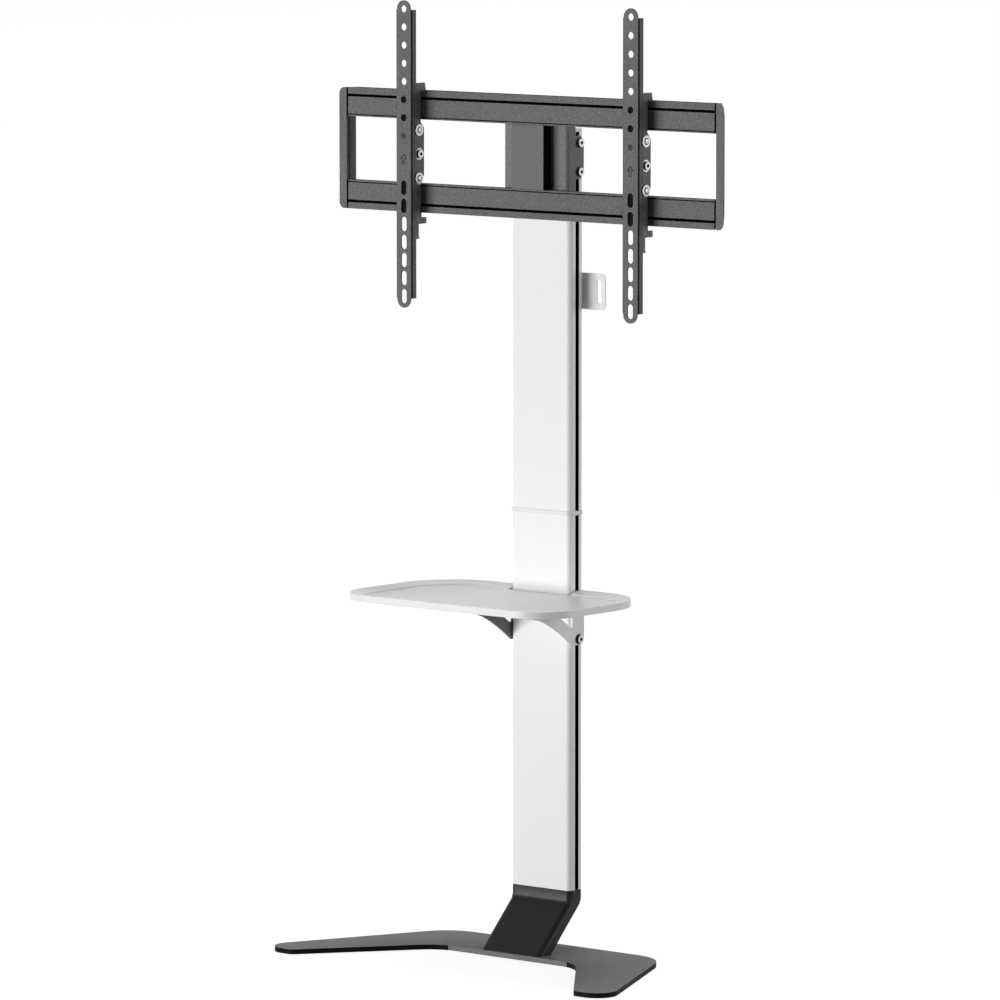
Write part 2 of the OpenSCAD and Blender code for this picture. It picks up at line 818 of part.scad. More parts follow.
module knee_bracket() {
    color("#3d3e40")
        difference() {
            union() {
                difference() {
                    knee_body(0, plate_top, knee_top_z);
                    knee_body(knee_wall, plate_top - over, knee_top_z - knee_roof);
                }
                intersection() {
                    knee_body(0, plate_top, knee_top_z);
                    for (x = [-boss_out_x, -boss_in_x, boss_in_x, boss_out_x])
                        translate([x, -boss_y, plate_top])
                            cylinder(r = boss_r, h = boss_h);
                }
            }
            for (x = [-boss_out_x, -boss_in_x, boss_in_x, boss_out_x])
                translate([x, -boss_y, plate_top - over])
                    cylinder(r = base_screw_r + fit, h = base_thread + 2 * over);
            for (side = [-1, 1], y = [port_y, column_d - port_y])
                translate([side * port_x, y, knee_top_z - knee_roof - over])
                    cylinder(r = column_screw_r + play, h = knee_roof + 2 * over);
        }
}

module column_screws() {
    color("#a8a9ab")
        for (side = [-1, 1], y = [port_y, column_d - port_y])
            translate([side * port_x, y, knee_top_z - knee_roof])
                rotate([180, 0, 0])
                    cap_screw(column_head_r, column_head_h, column_screw_r,
                        knee_roof + column_thread);
}

module set_screw_holes(z) {
    for (side = [-1, 1])
        rod_y(side * bar_x, column_d - set_pad_t - over, z,
            set_screw_r + fit, set_pad_t + 2 * over);
}

module lower_column() {
    color("#c9cacc")
        difference() {
            translate([0, 0, knee_top_z])
                linear_extrude(section_l)
                    column_profile();
            set_screw_holes(joint_low_z - set_screw_z);
        }
}

module upper_column() {
    color("#c9cacc")
        difference() {
            translate([0, 0, joint_top_z])
                linear_extrude(section_l)
                    column_profile();
            set_screw_holes(joint_top_z + set_screw_z);
        }
}

module bar_outline(grow) {
    for (side = [-1, 1])
        translate([
            side * bar_x - bar_w / 2 - grow, column_wall + gap - grow
        ])
            square([bar_w + 2 * grow, bar_d + 2 * grow]);
}

module joint_ring() {
    color("#d8d9da")
        translate([0, 0, joint_low_z])
            linear_extrude(ring_h)
                difference() {
                    column_outline(ring_proud);
                    bar_outline(gap / 2);
                }
}

module joining_bars() {
    color("#8f9194")
        translate([0, 0, joint_mid_z - bar_l / 2])
            linear_extrude(bar_l)
                bar_outline(0);
}

module set_screws() {
    bar_rear_y = column_wall + gap + bar_d;
    color("#a8a9ab")
        for (side = [-1, 1], z = [joint_low_z - set_screw_z, joint_top_z + set_screw_z])
            difference() {
                rod_y(side * bar_x, bar_rear_y, z, set_screw_r,
                    column_d - bar_rear_y - gap);
                translate([side * bar_x, column_d - set_pad_t * depth_share, z])
                    rotate([-90, 0, 0])
                        cylinder(r = set_screw_r * socket_share, h = column_d,
                            $fn = hex);
            }
}

module column_top_cap() {
    color("#c4c5c7") {
        translate([0, 0, column_end_z])
            linear_extrude(top_cap_t)
                column_outline(0);
        translate([0, 0, column_end_z - top_plug_l])
            linear_extrude(top_plug_l)
                bar_outline(0);
    }
}

module tray_recess() {
    hull() {
        translate([0, 0, tray_top_z])
            linear_extrude(over)
                polygon(tray_outline(rim_flat));
        translate([0, 0, tray_floor_z + tray_step])
            linear_extrude(over)
                polygon(tray_outline(rim_w));
    }
    translate([0, 0, tray_floor_z])
        linear_extrude(tray_h)
            polygon(tray_outline(rim_w));
}

module shelf_tray() {
    notch = column_w / 2 + tray_gap;
    color("#d6d7d9")
        difference() {
            translate([0, 0, tray_z])
                linear_extrude(tray_h)
                    polygon(tray_outline(0));
            tray_recess();
            block([-notch, -tray_gap, tray_z - over],
                [notch, span, tray_top_z + over]);
            for (side = [-1, 1], y = [tray_screw_front_y, tray_screw_rear_y])
                translate([side * (wing_in + flange_w / 2), -y, tray_z - over])
                    cylinder(r = small_r + fit, h = tray_thread + play + over);
        }
}

// Lower edge of the gusset, from the column to its front end
function gusset_edge() = [
    for (i = [0 : 2 * round_steps])
        let (t = i / (2 * round_steps))
        [
            gusset_foot_y - t * (gusset_foot_y + gusset_y),
            tray_z - gusset_h + (gusset_h - gusset_tip_h) * sin(90 * t)
        ]
];

module shelf_bracket(side) {
    foot_z = tray_z - gusset_h;
    window_l = (window_low - window_top) / window_share;
    difference() {
        union() {
            along_x(side > 0 ? wing_in : -wing_in - shelf_sheet, shelf_sheet)
                difference() {
                    polygon(concat(
                        [[-gusset_y, tray_z], [gusset_rear_y, tray_z]],
                        corner(
                            [gusset_rear_y, tray_z], [gusset_rear_y, foot_z],
                            [gusset_foot_y, foot_z], gusset_foot_r
                        ),
                        gusset_edge()
                    ));
                    polygon(rounded([
                        [window_y, tray_z - window_low, window_r],
                        [window_y, tray_z - window_top, window_r],
                        [window_y - window_l, tray_z - window_top, window_r]
                    ]));
                }
            block(
                [
                    side > 0 ? wing_in : -wing_in - flange_w,
                    -gusset_y, tray_z - shelf_sheet
                ],
                [
                    side > 0 ? wing_in + flange_w : -wing_in,
                    tray_rear_y - shelf_sheet, tray_z
                ]
            );
        }
        for (z = [shelf_bolt_low, shelf_bolt_high])
            rod_x(-span, slot_y, tray_z - z, bolt_r + play, 2 * span);
        for (y = [tray_screw_front_y, tray_screw_rear_y])
            translate([side * (wing_in + flange_w / 2), -y, tray_z - shelf_sheet - over])
                cylinder(r = small_r + play, h = shelf_sheet + 2 * over);
    }
}

module shelf_bracket_left() {
    color("#d6d7d9")
        shelf_bracket(-1);
}

module shelf_bracket_right() {
    color("#d6d7d9")
        shelf_bracket(1);
}

module tray_screws() {
    color("#a8a9ab")
        for (side = [-1, 1], y = [tray_screw_front_y, tray_screw_rear_y])
            translate([side * (wing_in + flange_w / 2), -y, tray_z - shelf_sheet])
                rotate([180, 0, 0])
                    cap_screw(small_head_r, small_head_h, small_r,
                        shelf_sheet + tray_thread);
}

// Bolts through a sheet on both sides of the column, at the listed heights
module side_bolts(heights, sheet) {
    for (side = [-1, 1], z = heights)
        translate([side * (wing_in + sheet + washer_t), slot_y, z])
            rotate([0, side * 90, 0])
                cap_screw(bolt_head_r, bolt_head_h, bolt_r,
                    washer_t + sheet + slot_lip + nut_t);
}

module side_washers(heights, sheet) {
    face_x = wing_in + sheet;
    for (side = [-1, 1], z = heights)
        difference() {
            rod_x(side > 0 ? face_x : -face_x - washer_t, slot_y, z,
                washer_r, washer_t);
            rod_x(-span, slot_y, z, bolt_r + play / 2, 2 * span);
        }
}

module side_nuts(heights) {
    nut_top = column_w / 2 - slot_lip - gap;
    for (side = [-1, 1], z = heights)
        difference() {
            block(
                [
                    side > 0 ? nut_top - nut_t : -nut_top,
                    slot_y - slot_in_w / 2 + gap, z - nut_l / 2
                ],
                [
                    side > 0 ? nut_top : -nut_top + nut_t,
                    slot_y + slot_in_w / 2 - gap, z + nut_l / 2
                ]
            );
            rod_x(-span, slot_y, z, bolt_r + fit, 2 * span);
        }
}

shelf_heights = [tray_z - shelf_bolt_low, tray_z - shelf_bolt_high];
head_heights = [head_z - head_bolt_pitch / 2, head_z + head_bolt_pitch / 2];

module shelf_bolts() {
    color("#c9cacc")
        side_bolts(shelf_heights, shelf_sheet);
}

module shelf_washers() {
    color("#c9cacc")
        side_washers(shelf_heights, shelf_sheet);
}

module shelf_slot_nuts() {
    color("#a8a9ab")
        side_nuts(shelf_heights);
}

module head_bolts() {
    color("#c9cacc")
        side_bolts(head_heights, wing_t);
}

module head_washers() {
    color("#c9cacc")
        side_washers(head_heights, wing_t);
}

module head_slot_nuts() {
    color("#a8a9ab")
        side_nuts(head_heights);
}

module cable_holder() {
    front_y = column_d + gap;
    low_z = holder_z - holder_h / 2;
    color("#c4c5c7")
        difference() {
            translate([0, front_y + holder_t, 0])
                rotate([90, 0, 0])
                    linear_extrude(holder_t)
                        polygon(rounded([
                            [-holder_in_x, low_z, holder_r],
                            [holder_x, low_z, holder_r],
                            [holder_x, low_z + holder_h, holder_r],
                            [-holder_in_x, low_z + holder_h, holder_r]
                        ]));
            slot_y_cut(holder_x - holder_slot_x, front_y - over, holder_z,
                holder_slot_w, holder_slot_l, holder_t + 2 * over);
            rod_y(0, front_y - over, holder_z, bolt_r + play, holder_t + 2 * over);
        }
}

module holder_bolt() {
    color("#c9cacc")
        translate([0, column_d + gap + holder_t, holder_z])
            rotate([-90, 0, 0])
                cap_screw(bolt_head_r, bolt_head_h, bolt_r,
                    holder_t + slot_lip + nut_t);
}

module holder_nut() {
    nut_top = column_d - slot_lip - gap;
    color("#a8a9ab")
        difference() {
            block(
                [-slot_in_w / 2 + gap, nut_top - nut_t, holder_z - nut_l / 2],
                [slot_in_w / 2 - gap, nut_top, holder_z + nut_l / 2]
            );
            rod_y(0, 0, holder_z, bolt_r + fit, column_d);
        }
}

// Outline of the bracket round the column, front corners rounded to radius r
function wing_points(half, front_y, rear_y, r) = rounded([
    [-half, rear_y, 0],
    [-half, -front_y, r],
    [half, -front_y, r],
    [half, rear_y, 0]
]);

module head_bracket() {
    color("#38393b")
        difference() {
            translate([0, 0, head_z - wing_h / 2])
                linear_extrude(wing_h)
                    difference() {
                        polygon(wing_points(wing_out, web_front_y, lobe_y,
                            wing_bend_r + wing_t));
                        polygon(wing_points(wing_in, web_rear_y, lobe_y + over,
                            wing_bend_r));
                    }
            for (end = [-1, 1])
                along_x(-span, 2 * span)
                    polygon([
                        [wing_y, head_z + end * (wing_h / 2 + over)],
                        [wing_y, head_z + end * lobe_h / 2],
                        [lobe_y - lobe_chamfer, head_z + end * lobe_h / 2],
                        [lobe_y, head_z + end * (lobe_h / 2 - lobe_chamfer)],
                        [lobe_y + over, head_z + end * (lobe_h / 2 - lobe_chamfer)],
                        [lobe_y + over, head_z + end * (wing_h / 2 + over)]
                    ]);
            for (z = head_heights)
                rod_x(-span, slot_y, z, bolt_r + play, 2 * span);
            for (side = [-1, 1], end = [-1, 1])
                rod_y(side * rail_screw_x, -web_front_y - over, head_z + end * box_mid_z,
                    base_screw_r + play, wing_t + 2 * over);
            for (end = [-1, 1])
                rod_y(0, -web_front_y - over, head_z + end * cover_screw_z,
                    small_r + play, wing_t + 2 * over);
        }
}

module cover_box() {
    half_h = rail_gap_h / 2 - gap;
    color("#2f3031")
        difference() {
            union() {
                difference() {
                    block([-cover_half_w, -rail_face_y, head_z - half_h],
                        [cover_half_w, -web_front_y, head_z + half_h]);
                    block(
                        [
                            -cover_half_w + cover_wall, -rail_face_y + cover_wall,
                            head_z - half_h + cover_wall
                        ],
                        [
                            cover_half_w - cover_wall, -web_front_y + over,
                            head_z + half_h - cover_wall
                        ]
                    );
                }
                for (end = [-1, 1])
                    rod_y(0, -rail_face_y + cover_wall / 2, head_z + end * cover_screw_z,
                        cover_boss_r, rail_d - cover_wall / 2);
            }
            for (end = [-1, 1])
                rod_y(0, -web_front_y - small_thread, head_z + end * cover_screw_z,
                    small_r + fit, small_thread + over);
        }
}

module cover_screws() {
    color("#a8a9ab")
        for (end = [-1, 1])
            translate([0, -web_rear_y, head_z + end * cover_screw_z])
                rotate([-90, 0, 0])
                    cap_screw(small_head_r, small_head_h, small_r,
                        wing_t + small_thread - over);
}

// Rail profile in depth and height, its inner edge at height 0
module rail_profile() {
    difference() {
        translate([-rail_face_y, 0])
            square([rail_d, rail_h]);
        translate([-rail_face_y + rail_wall, rail_wall])
            square([
                rail_d - rail_wall - rail_rear_wall, rail_box_h - 2 * rail_wall
            ]);
        translate([-lip_rear_y, rail_box_h])
            square([rail_d - rail_lip - rail_rear_wall, rail_h]);
        translate([-rail_face_y - over, rail_h - groove_z - groove_w / 2])
            square([groove_d + over, groove_w]);
        translate([-rail_face_y - over, fine_z - fine_w / 2])
            square([fine_d + over, fine_w]);
    }
}

// Both rails share this shape, end is 1 for the upper and -1 for the lower one
module rail(end) {
    difference() {
        translate([0, 0, head_z + end * rail_gap_h / 2])
            mirror([0, 0, end > 0 ? 0 : 1])
                along_x(-rail_half_l, 2 * rail_half_l)
                    rail_profile();
        for (side = [-1, 1]) {
            rod_y(side * rail_screw_x, -web_front_y - rail_rear_wall - over,
                head_z + end * box_mid_z, base_screw_r + fit, rail_rear_wall + 2 * over);
            rod_y(side * (rail_half_l - cap_screw_x), -web_front_y - rail_rear_wall - over,
                head_z + end * box_mid_z, small_r + play, rail_rear_wall + 2 * over);
        }
    }
}

module upper_rail() {
    color("#6b6c6e")
        rail(1);
}

module lower_rail() {
    color("#6b6c6e")
        rail(-1);
}

module rail_screws() {
    color("#a8a9ab")
        for (side = [-1, 1], end = [-1, 1])
            translate([side * rail_screw_x, -web_rear_y, head_z + end * box_mid_z])
                rotate([-90, 0, 0])
                    cap_screw(rail_head_r, rail_head_h, base_screw_r,
                        wing_t + rail_thread);
}

module end_cap(side) {
    plug_low = rail_gap_h / 2 + rail_wall + gap / 2;
    plug_h = rail_box_h - 2 * rail_wall - gap;
    difference() {
        union() {
            translate([0, -web_front_y, 0])
                rotate([90, 0, 0])
                    linear_extrude(rail_d)
                        polygon(rounded([
                            [side * joint_x, rail_low_z, 0],
                            [side * cap_end_x, rail_low_z, cap_r],
                            [side * cap_end_x, rail_top_z, cap_r],
                            [side * joint_x, rail_top_z, 0]
                        ]));
            block(
                [
                    side > 0 ? rail_half_l : -joint_x,
                    -rail_face_y + cap_joint_d, rail_low_z
                ],
                [
                    side > 0 ? joint_x : -rail_half_l,
                    -web_front_y, rail_top_z
                ]
            );
            for (end = [-1, 1])
                block(
                    [
                        side > 0 ? rail_half_l - cap_plug_l : -rail_half_l,
                        -rail_face_y + rail_wall + gap / 2,
                        head_z + (end > 0 ? plug_low : -plug_low - plug_h)
                    ],
                    [
                        side > 0 ? rail_half_l : -rail_half_l + cap_plug_l,
                        -web_front_y - rail_rear_wall - gap / 2,
                        head_z + (end > 0 ? plug_low + plug_h : -plug_low)
                    ]
                );
        }
        translate([0, 0, rail_low_z - over])
            linear_extrude(rail_top_z - rail_low_z + 2 * over)
                polygon([
                    [side * cap_end_x, cap_edge_y],
                    [side * (cap_end_x + over), cap_edge_y],
                    [side * (cap_end_x + over), -web_front_y + over],
                    [side * (joint_x + cap_rear_l), -web_front_y + over],
                    [side * (joint_x + cap_rear_l), -web_front_y]
                ]);
        for (end = [-1, 1])
            rod_y(side * (rail_half_l - cap_screw_x), -web_front_y - small_thread,
                head_z + end * box_mid_z, small_r + fit, small_thread);
    }
}

module end_cap_left() {
    color("#5d5e60")
        end_cap(-1);
}

module end_cap_right() {
    color("#5d5e60")
        end_cap(1);
}

module cap_screws() {
    color("#a8a9ab")
        for (side = [-1, 1], end = [-1, 1])
            translate([
                side * (rail_half_l - cap_screw_x), -web_front_y,
                head_z + end * box_mid_z
            ])
                rotate([-90, 0, 0])
                    cap_screw(small_head_r, small_head_h, small_r,
                        small_thread - over);
}

// Arc-shaped slot round the pivot with round ends, drawn in depth and height
module guide_slot(end) {
    half = guide_r + gap;
    rotate(atan2(end * guide_z, -guide_y)) {
        intersection() {
            difference() {
                circle(r = pins_radius + half);
                circle(r = pins_radius - half);
            }
            polygon([
                [0, 0],
                2 * pins_radius * [cos(tilt_max), -sin(tilt_max)],
                2 * pins_radius * [cos(tilt_max), sin(tilt_max)]
            ]);
        }
        for (way = [-1, 1])
            translate(pins_radius * [cos(tilt_max), way * sin(tilt_max)])
                circle(r = half);
    }
}

module carrier(x) {
    hook_low_z = rail_top_z - hook_depth;
    hook_rear_y = hook_y - carrier_hook_t;
    over_rail_z = rail_top_z + gap;
    inner_top = head_z + rail_gap_h / 2;
    inner_low = head_z - rail_gap_h / 2;
    face_y = rail_face_y + gap;
    wide_top = inner_top - carrier_step;
    wide_low = inner_low + carrier_step;
    difference() {
        along_x(x + carrier_x, carrier_t)
            difference() {
                polygon([
                    [-carrier_end_y, rail_top_z + hook_top],
                    [-hook_rear_y - hook_lean - edge, rail_top_z + hook_top],
                    [-hook_rear_y - hook_lean, rail_top_z + hook_top - edge],
                    [-hook_rear_y, rail_top_z],
                    [-hook_rear_y, hook_low_z],
                    [-hook_y, hook_low_z],
                    [-hook_y, over_rail_z],
                    [-face_y, over_rail_z],
                    [-face_y, inner_top + edge],
                    [-latch_neck_y, inner_top - edge],
                    [-latch_neck_y, wide_top],
                    [-carrier_rear_y, wide_top - carrier_bevel],
                    [-carrier_rear_y, wide_low + carrier_bevel],
                    [-latch_neck_y, wide_low],
                    [-latch_neck_y, inner_low + edge],
                    [-face_y, inner_low - edge],
                    [-face_y, rail_low_z + edge],
                    [-carrier_end_y, rail_low_z + edge],
                    [-carrier_mid_y, pivot_z - carrier_flat_h],
                    [-carrier_mid_y, pivot_z + carrier_flat_h]
                ]);
                translate([-pivot_y, pivot_z])
                    for (end = [-1, 1])
                        guide_slot(end);
            }
        rod_x(x, -pivot_y, pivot_z, pivot_r + fit, arm_w);
        for (z = [rivet_low_z, rivet_top_z])
            rod_x(x, -rivet_y, z, rivet_r + fit, arm_w);
    }
}

module carrier_left() {
    color("#4a4b4d")
        carrier(-arm_x);
}

module carrier_right() {
    color("#4a4b4d")
        carrier(arm_x);
}

module pivot_bolt(x) {
    translate([x + carrier_face + washer_t, -pivot_y, pivot_z])
        rotate([0, 90, 0])
            cap_screw(bolt_head_r, pivot_head_h, pivot_r,
                washer_t + 2 * carrier_t + 2 * gap + pivot_nut_t);
}

module pivot_bolt_left() {
    color("#c9cacc")
        pivot_bolt(-arm_x);
}

module pivot_bolt_right() {
    color("#c9cacc")
        pivot_bolt(arm_x);
}

module pivot_washer(x) {
    difference() {
        rod_x(x + carrier_face, -pivot_y, pivot_z, pivot_washer_r, washer_t);
        rod_x(x, -pivot_y, pivot_z, pivot_r + fit, arm_w);
    }
}

module pivot_washer_left() {
    color("#c9cacc")
        pivot_washer(-arm_x);
}

module pivot_washer_right() {
    color("#c9cacc")
        pivot_washer(arm_x);
}

module pivot_nut(x) {
    translate([x + ear_x - gap - pivot_nut_t, -pivot_y, pivot_z])
        rotate([0, 90, 0])
            difference() {
                cylinder(r = pivot_nut_r, h = pivot_nut_t, $fn = hex);
                translate([0, 0, -over])
                    cylinder(r = pivot_r + fit, h = pivot_nut_t + 2 * over);
            }
}

module pivot_nut_left() {
    color("#a8a9ab")
        pivot_nut(-arm_x);
}

module pivot_nut_right() {
    color("#a8a9ab")
        pivot_nut(arm_x);
}

module latch_rivets(x) {
    latch_x = carrier_x - gap - carrier_t;
    for (z = [rivet_low_z, rivet_top_z]) {
        rod_x(x + latch_x - gap, -rivet_y, z, rivet_r,
            carrier_face - latch_x + gap);
        rod_x(x + latch_x - gap - rivet_head_h, -rivet_y, z, rivet_head_r, rivet_head_h);
    }
}

module latch_rivets_left() {
    color("#8f9194")
        latch_rivets(-arm_x);
}

module latch_rivets_right() {
    color("#8f9194")
        latch_rivets(arm_x);
}

module latch(x) {
    strip_front_y = latch_strip_y + latch_strip_w;
    half = rivet_r + gap;
    latch_x = carrier_x - gap - carrier_t;
    hook_high_z = rail_low_z + hook_depth;
    difference() {
        along_x(x + latch_x, carrier_t)
            polygon(rounded([
                [-carrier_end_y, tab_low_z, 0],
                [-strip_front_y, tab_low_z, 0],
                [-strip_front_y, latch_low_z, 0],
                [-latch_strip_y + latch_foot, latch_low_z, 0],
                [-latch_strip_y + latch_foot, latch_low_z + latch_foot_h, 0],
                [-latch_strip_y, latch_low_z + latch_foot_h, 0],
                [-latch_strip_y, tab_low_z, latch_r],
                [-latch_tab_y, tab_low_z, latch_r],
                [-latch_tab_y, tab_top_z, latch_r],
                [-hook_y + hook_t, tab_top_z, latch_r],
                [-hook_y + hook_t, hook_high_z, 0],
                [-hook_y, hook_high_z, 0],
                [-hook_y, rail_low_z - gap, 0],
                [-latch_neck_y, rail_low_z - gap, 0],
                [-latch_neck_y, neck_top_z, 0],
                [-carrier_end_y, neck_top_z, 0]
            ]));
        for (z = [rivet_low_z, rivet_top_z]) {
            rod_x(x, -rivet_y, z, half, arm_w);
            rod_x(x, -rivet_y, z + latch_travel, half, arm_w);
            block([x, -rivet_y - half, z], [x + arm_w, -rivet_y + half, z + latch_travel]);
        }
    }
}

module latch_left() {
    color("#4a4b4d")
        latch(-arm_x);
}

module latch_right() {
    color("#4a4b4d")
        latch(arm_x);
}

// Channel section of an arm, open to the rear
module arm_profile() {
    difference() {
        polygon(rounded([
            [-arm_w / 2, -arm_face_y + arm_left_d, 0],
            [-arm_w / 2, -arm_face_y, arm_r],
            [arm_w / 2, -arm_face_y, arm_r],
            [arm_w / 2, -arm_face_y + arm_d, 0]
        ]));
        translate([-arm_inner, -arm_face_y + arm_t])
            square([2 * arm_inner, arm_d]);
    }
}

// Outline of the arrow, drawn in width and height, moved inward by inset
function arrow_points(inset) =
    let (
        lean = atan2(arrow_w / 2, arrow_head_h),
        tip = arrow_top_z - inset / sin(lean),
        low = arrow_top_z - arrow_head_h + inset,
        half = (tip - low) * tan(lean),
        stem = arrow_stem_w / 2 - inset,
        foot = arrow_top_z - arrow_l + inset
    )
    [
        [0, tip], [-half, low], [-stem, low], [-stem, foot],
        [stem, foot], [stem, low], [half, low]
    ];

module arrow_mark() {
    difference() {
        polygon(arrow_points(0));
        polygon(arrow_points(arrow_line));
    }
}

module arm(x) {
    half = arm_tab_w / 2;
    translate([x, 0, 0])
        difference() {
            union() {
                translate([0, 0, arm_low_z + arm_tab_h])
                    linear_extrude(arm_top_z - arm_low_z - 2 * arm_tab_h)
                        arm_profile();
                translate([0, -arm_face_y + arm_t, 0])
                    rotate([90, 0, 0])
                        linear_extrude(arm_t)
                            polygon(rounded([
                                [-half, arm_low_z, arm_tab_r],
                                [half, arm_low_z, arm_tab_r],
                                [half, arm_top_z, arm_tab_r],
                                [-half, arm_top_z, arm_tab_r]
                            ]));
            }
            for (i = [0 : hole_count - 1])
                rod_y(0, -arm_face_y - over, hole_top_z - i * hole_pitch,
                    hole_r, arm_t + 2 * over);
            for (i = [0 : slot_count - 1])
                slot_y_cut(0, -arm_face_y - over, slot_low_z + i * hole_pitch,
                    slot_w, slot_l, arm_t + 2 * over);
            rod_y(0, -arm_face_y - over, dimple_z, dimple_r, mark_d + over);
            translate([0, -arm_face_y + mark_d, 0])
                rotate([90, 0, 0])
                    linear_extrude(mark_d + over)
                        arrow_mark();
        }
}

module arm_left() {
    color("#6b6c6e")
        arm(-arm_x);
}

module arm_right() {
    color("#6b6c6e")
        arm(arm_x);
}

module tilt_bracket(x) {
    plate_y = arm_face_y - arm_t;
    ear_h = guide_z + guide_r + tilt_edge;
    difference() {
        union() {
            along_x(x + ear_x, carrier_t)
                polygon([
                    [-plate_y, pivot_z - tilt_foot_h],
                    [-tilt_end_y, pivot_z - ear_h],
                    [-tilt_corner_y, pivot_z - ear_h],
                    [-tilt_rear_y, pivot_z - guide_z],
                    [-tilt_rear_y, pivot_z + guide_z],
                    [-tilt_corner_y, pivot_z + ear_h],
                    [-tilt_end_y, pivot_z + ear_h],
                    [-plate_y, pivot_z + tilt_foot_h]
                ]);
            block([x - carrier_x, -plate_y, pivot_z - tilt_plate_down],
                [x + ear_x + carrier_t, -plate_y + carrier_t, pivot_z + tilt_plate_up]);
        }
        rod_x(x, -pivot_y, pivot_z, pivot_r + fit, arm_w);
        for (end = [-1, 1])
            rod_x(x, -pivot_y - guide_y, pivot_z + end * guide_z, guide_r + fit, arm_w);
    }
}

module tilt_bracket_left() {
    color("#55565a")
        tilt_bracket(-arm_x);
}

module tilt_bracket_right() {
    color("#55565a")
        tilt_bracket(arm_x);
}

// Half outline of the dome on a guide pin head, from its axis outward
function dome_points() = concat([[0, 0]],
    [for (i = [0 : round_steps])
        let (t = 90 * i / round_steps)
        [guide_dome_r * cos(t), guide_dome_h * sin(t)]
    ]
);

module guide_pins(x) {
    head_x = x + arm_w / 2 + gap;
    dome_x = head_x + guide_head_h;
    for (end = [-1, 1])
        translate([0, -pivot_y - guide_y, pivot_z + end * guide_z]) {
            rod_x(x + ear_x, 0, 0, guide_r, head_x - x - ear_x);
            rod_x(head_x, 0, 0, guide_head_r, guide_head_h);
            translate([dome_x, 0, 0])
                rotate([0, 90, 0])
                    rotate_extrude()
                        polygon(dome_points());
            rod_x(x + ear_x - rivet_head_h, 0, 0, guide_foot_r, rivet_head_h);
        }
}

module guide_pins_left() {
    color("#c9cacc")
        guide_pins(-arm_x);
}

module guide_pins_right() {
    color("#c9cacc")
        guide_pins(arm_x);
}

base_plate();
foot_pads();
base_screws();
knee_bracket();
column_screws();
lower_column();
upper_column();
joint_ring();
joining_bars();
set_screws();
column_top_cap();
shelf_tray();
shelf_bracket_left();
shelf_bracket_right();
tray_screws();
shelf_bolts();
shelf_washers();
shelf_slot_nuts();
cable_holder();
holder_bolt();
holder_nut();
head_bracket();
head_bolts();
head_washers();
head_slot_nuts();
cover_box();
cover_screws();
upper_rail();
lower_rail();
rail_screws();
end_cap_left();
end_cap_right();
cap_screws();
carrier_left();
carrier_right();
pivot_bolt_left();
pivot_bolt_right();
pivot_washer_left();
pivot_washer_right();
pivot_nut_left();
pivot_nut_right();
latch_rivets_left();
latch_rivets_right();
latch_left();
latch_right();
arm_left();
arm_right();
tilt_bracket_left();
tilt_bracket_right();
guide_pins_left();
guide_pins_right();
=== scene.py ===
"""Looks of the television stand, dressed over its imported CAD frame."""

import json
import math

import bpy
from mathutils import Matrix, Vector


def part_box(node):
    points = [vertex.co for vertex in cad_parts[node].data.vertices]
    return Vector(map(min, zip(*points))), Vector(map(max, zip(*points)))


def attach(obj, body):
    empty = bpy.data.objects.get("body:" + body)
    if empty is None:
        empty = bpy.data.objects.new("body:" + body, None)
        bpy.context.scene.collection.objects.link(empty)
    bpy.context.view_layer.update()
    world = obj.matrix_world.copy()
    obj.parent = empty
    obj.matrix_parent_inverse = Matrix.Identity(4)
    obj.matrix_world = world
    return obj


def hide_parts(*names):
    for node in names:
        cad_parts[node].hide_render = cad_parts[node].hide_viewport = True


MM = 0.001
PHOTO_AZIMUTH = 39.63
PHOTO_ELEVATION = 6.36
PHOTO_DISTANCE = 9.93118
PHOTO_LENS = 259.97
AIM_HEIGHT = 0.63156
AIM_SIDE = -0.05532

# Places on the stand in mm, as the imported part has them.
COLUMN_AXIS_Y = 15
HEAD_BOLTS = (1085.05, 1124.65)
SHELF_BOLTS = (441.9, 481.9)
SHELF_SHADE_TOP = 478
COVER_SHADE_TOP = 1200
ARM_X = 200
PIVOT_Y = -33.5
PIVOT_Z = 1102
PIN_Y = -38.7
PIN_RISE = 33.3
RAIL_FACE_Y = -28
GROOVE_Y = (-27.9, -26.5)
GROOVES = {"upper_rail": (1178.6, 1151.9), "lower_rail": (1031.1, 1057.8)}
WIDE_GROOVE_HALF = 1.92
FINE_GROOVE_HALF = 0.72
ARM_SKIN_Y = (-53.35, -52.7)
CAP_CORNER_X = 330.5
CAP_CORNER_R = 9
CAP_CORNERS = ((1, 1180.3), (-1, 1029.4))
CAP_CORNER_CUTS = 6
CAP_SLOPE = 0.776
CAP_LEVELS = (1060.4, 1149.3)

# Settings that every paint, drawn metal or moulding shares.
POWDER_SCALE = 620
POWDER_WARMTH = -0.012
POWDER_BUMP = (0.35, 0.0004)
LINE_SCALE = 420
LINE_BUMP = (0.12, 0.0002)
SKIN_SCALE = 900
SKIN_BUMP = (0.2, 0.0002)
MERGE_MM = 0.002
FLAT_ANGLE = 0.4
ROUNDED_ANGLE = 32
SMOOTH_ANGLE = 28

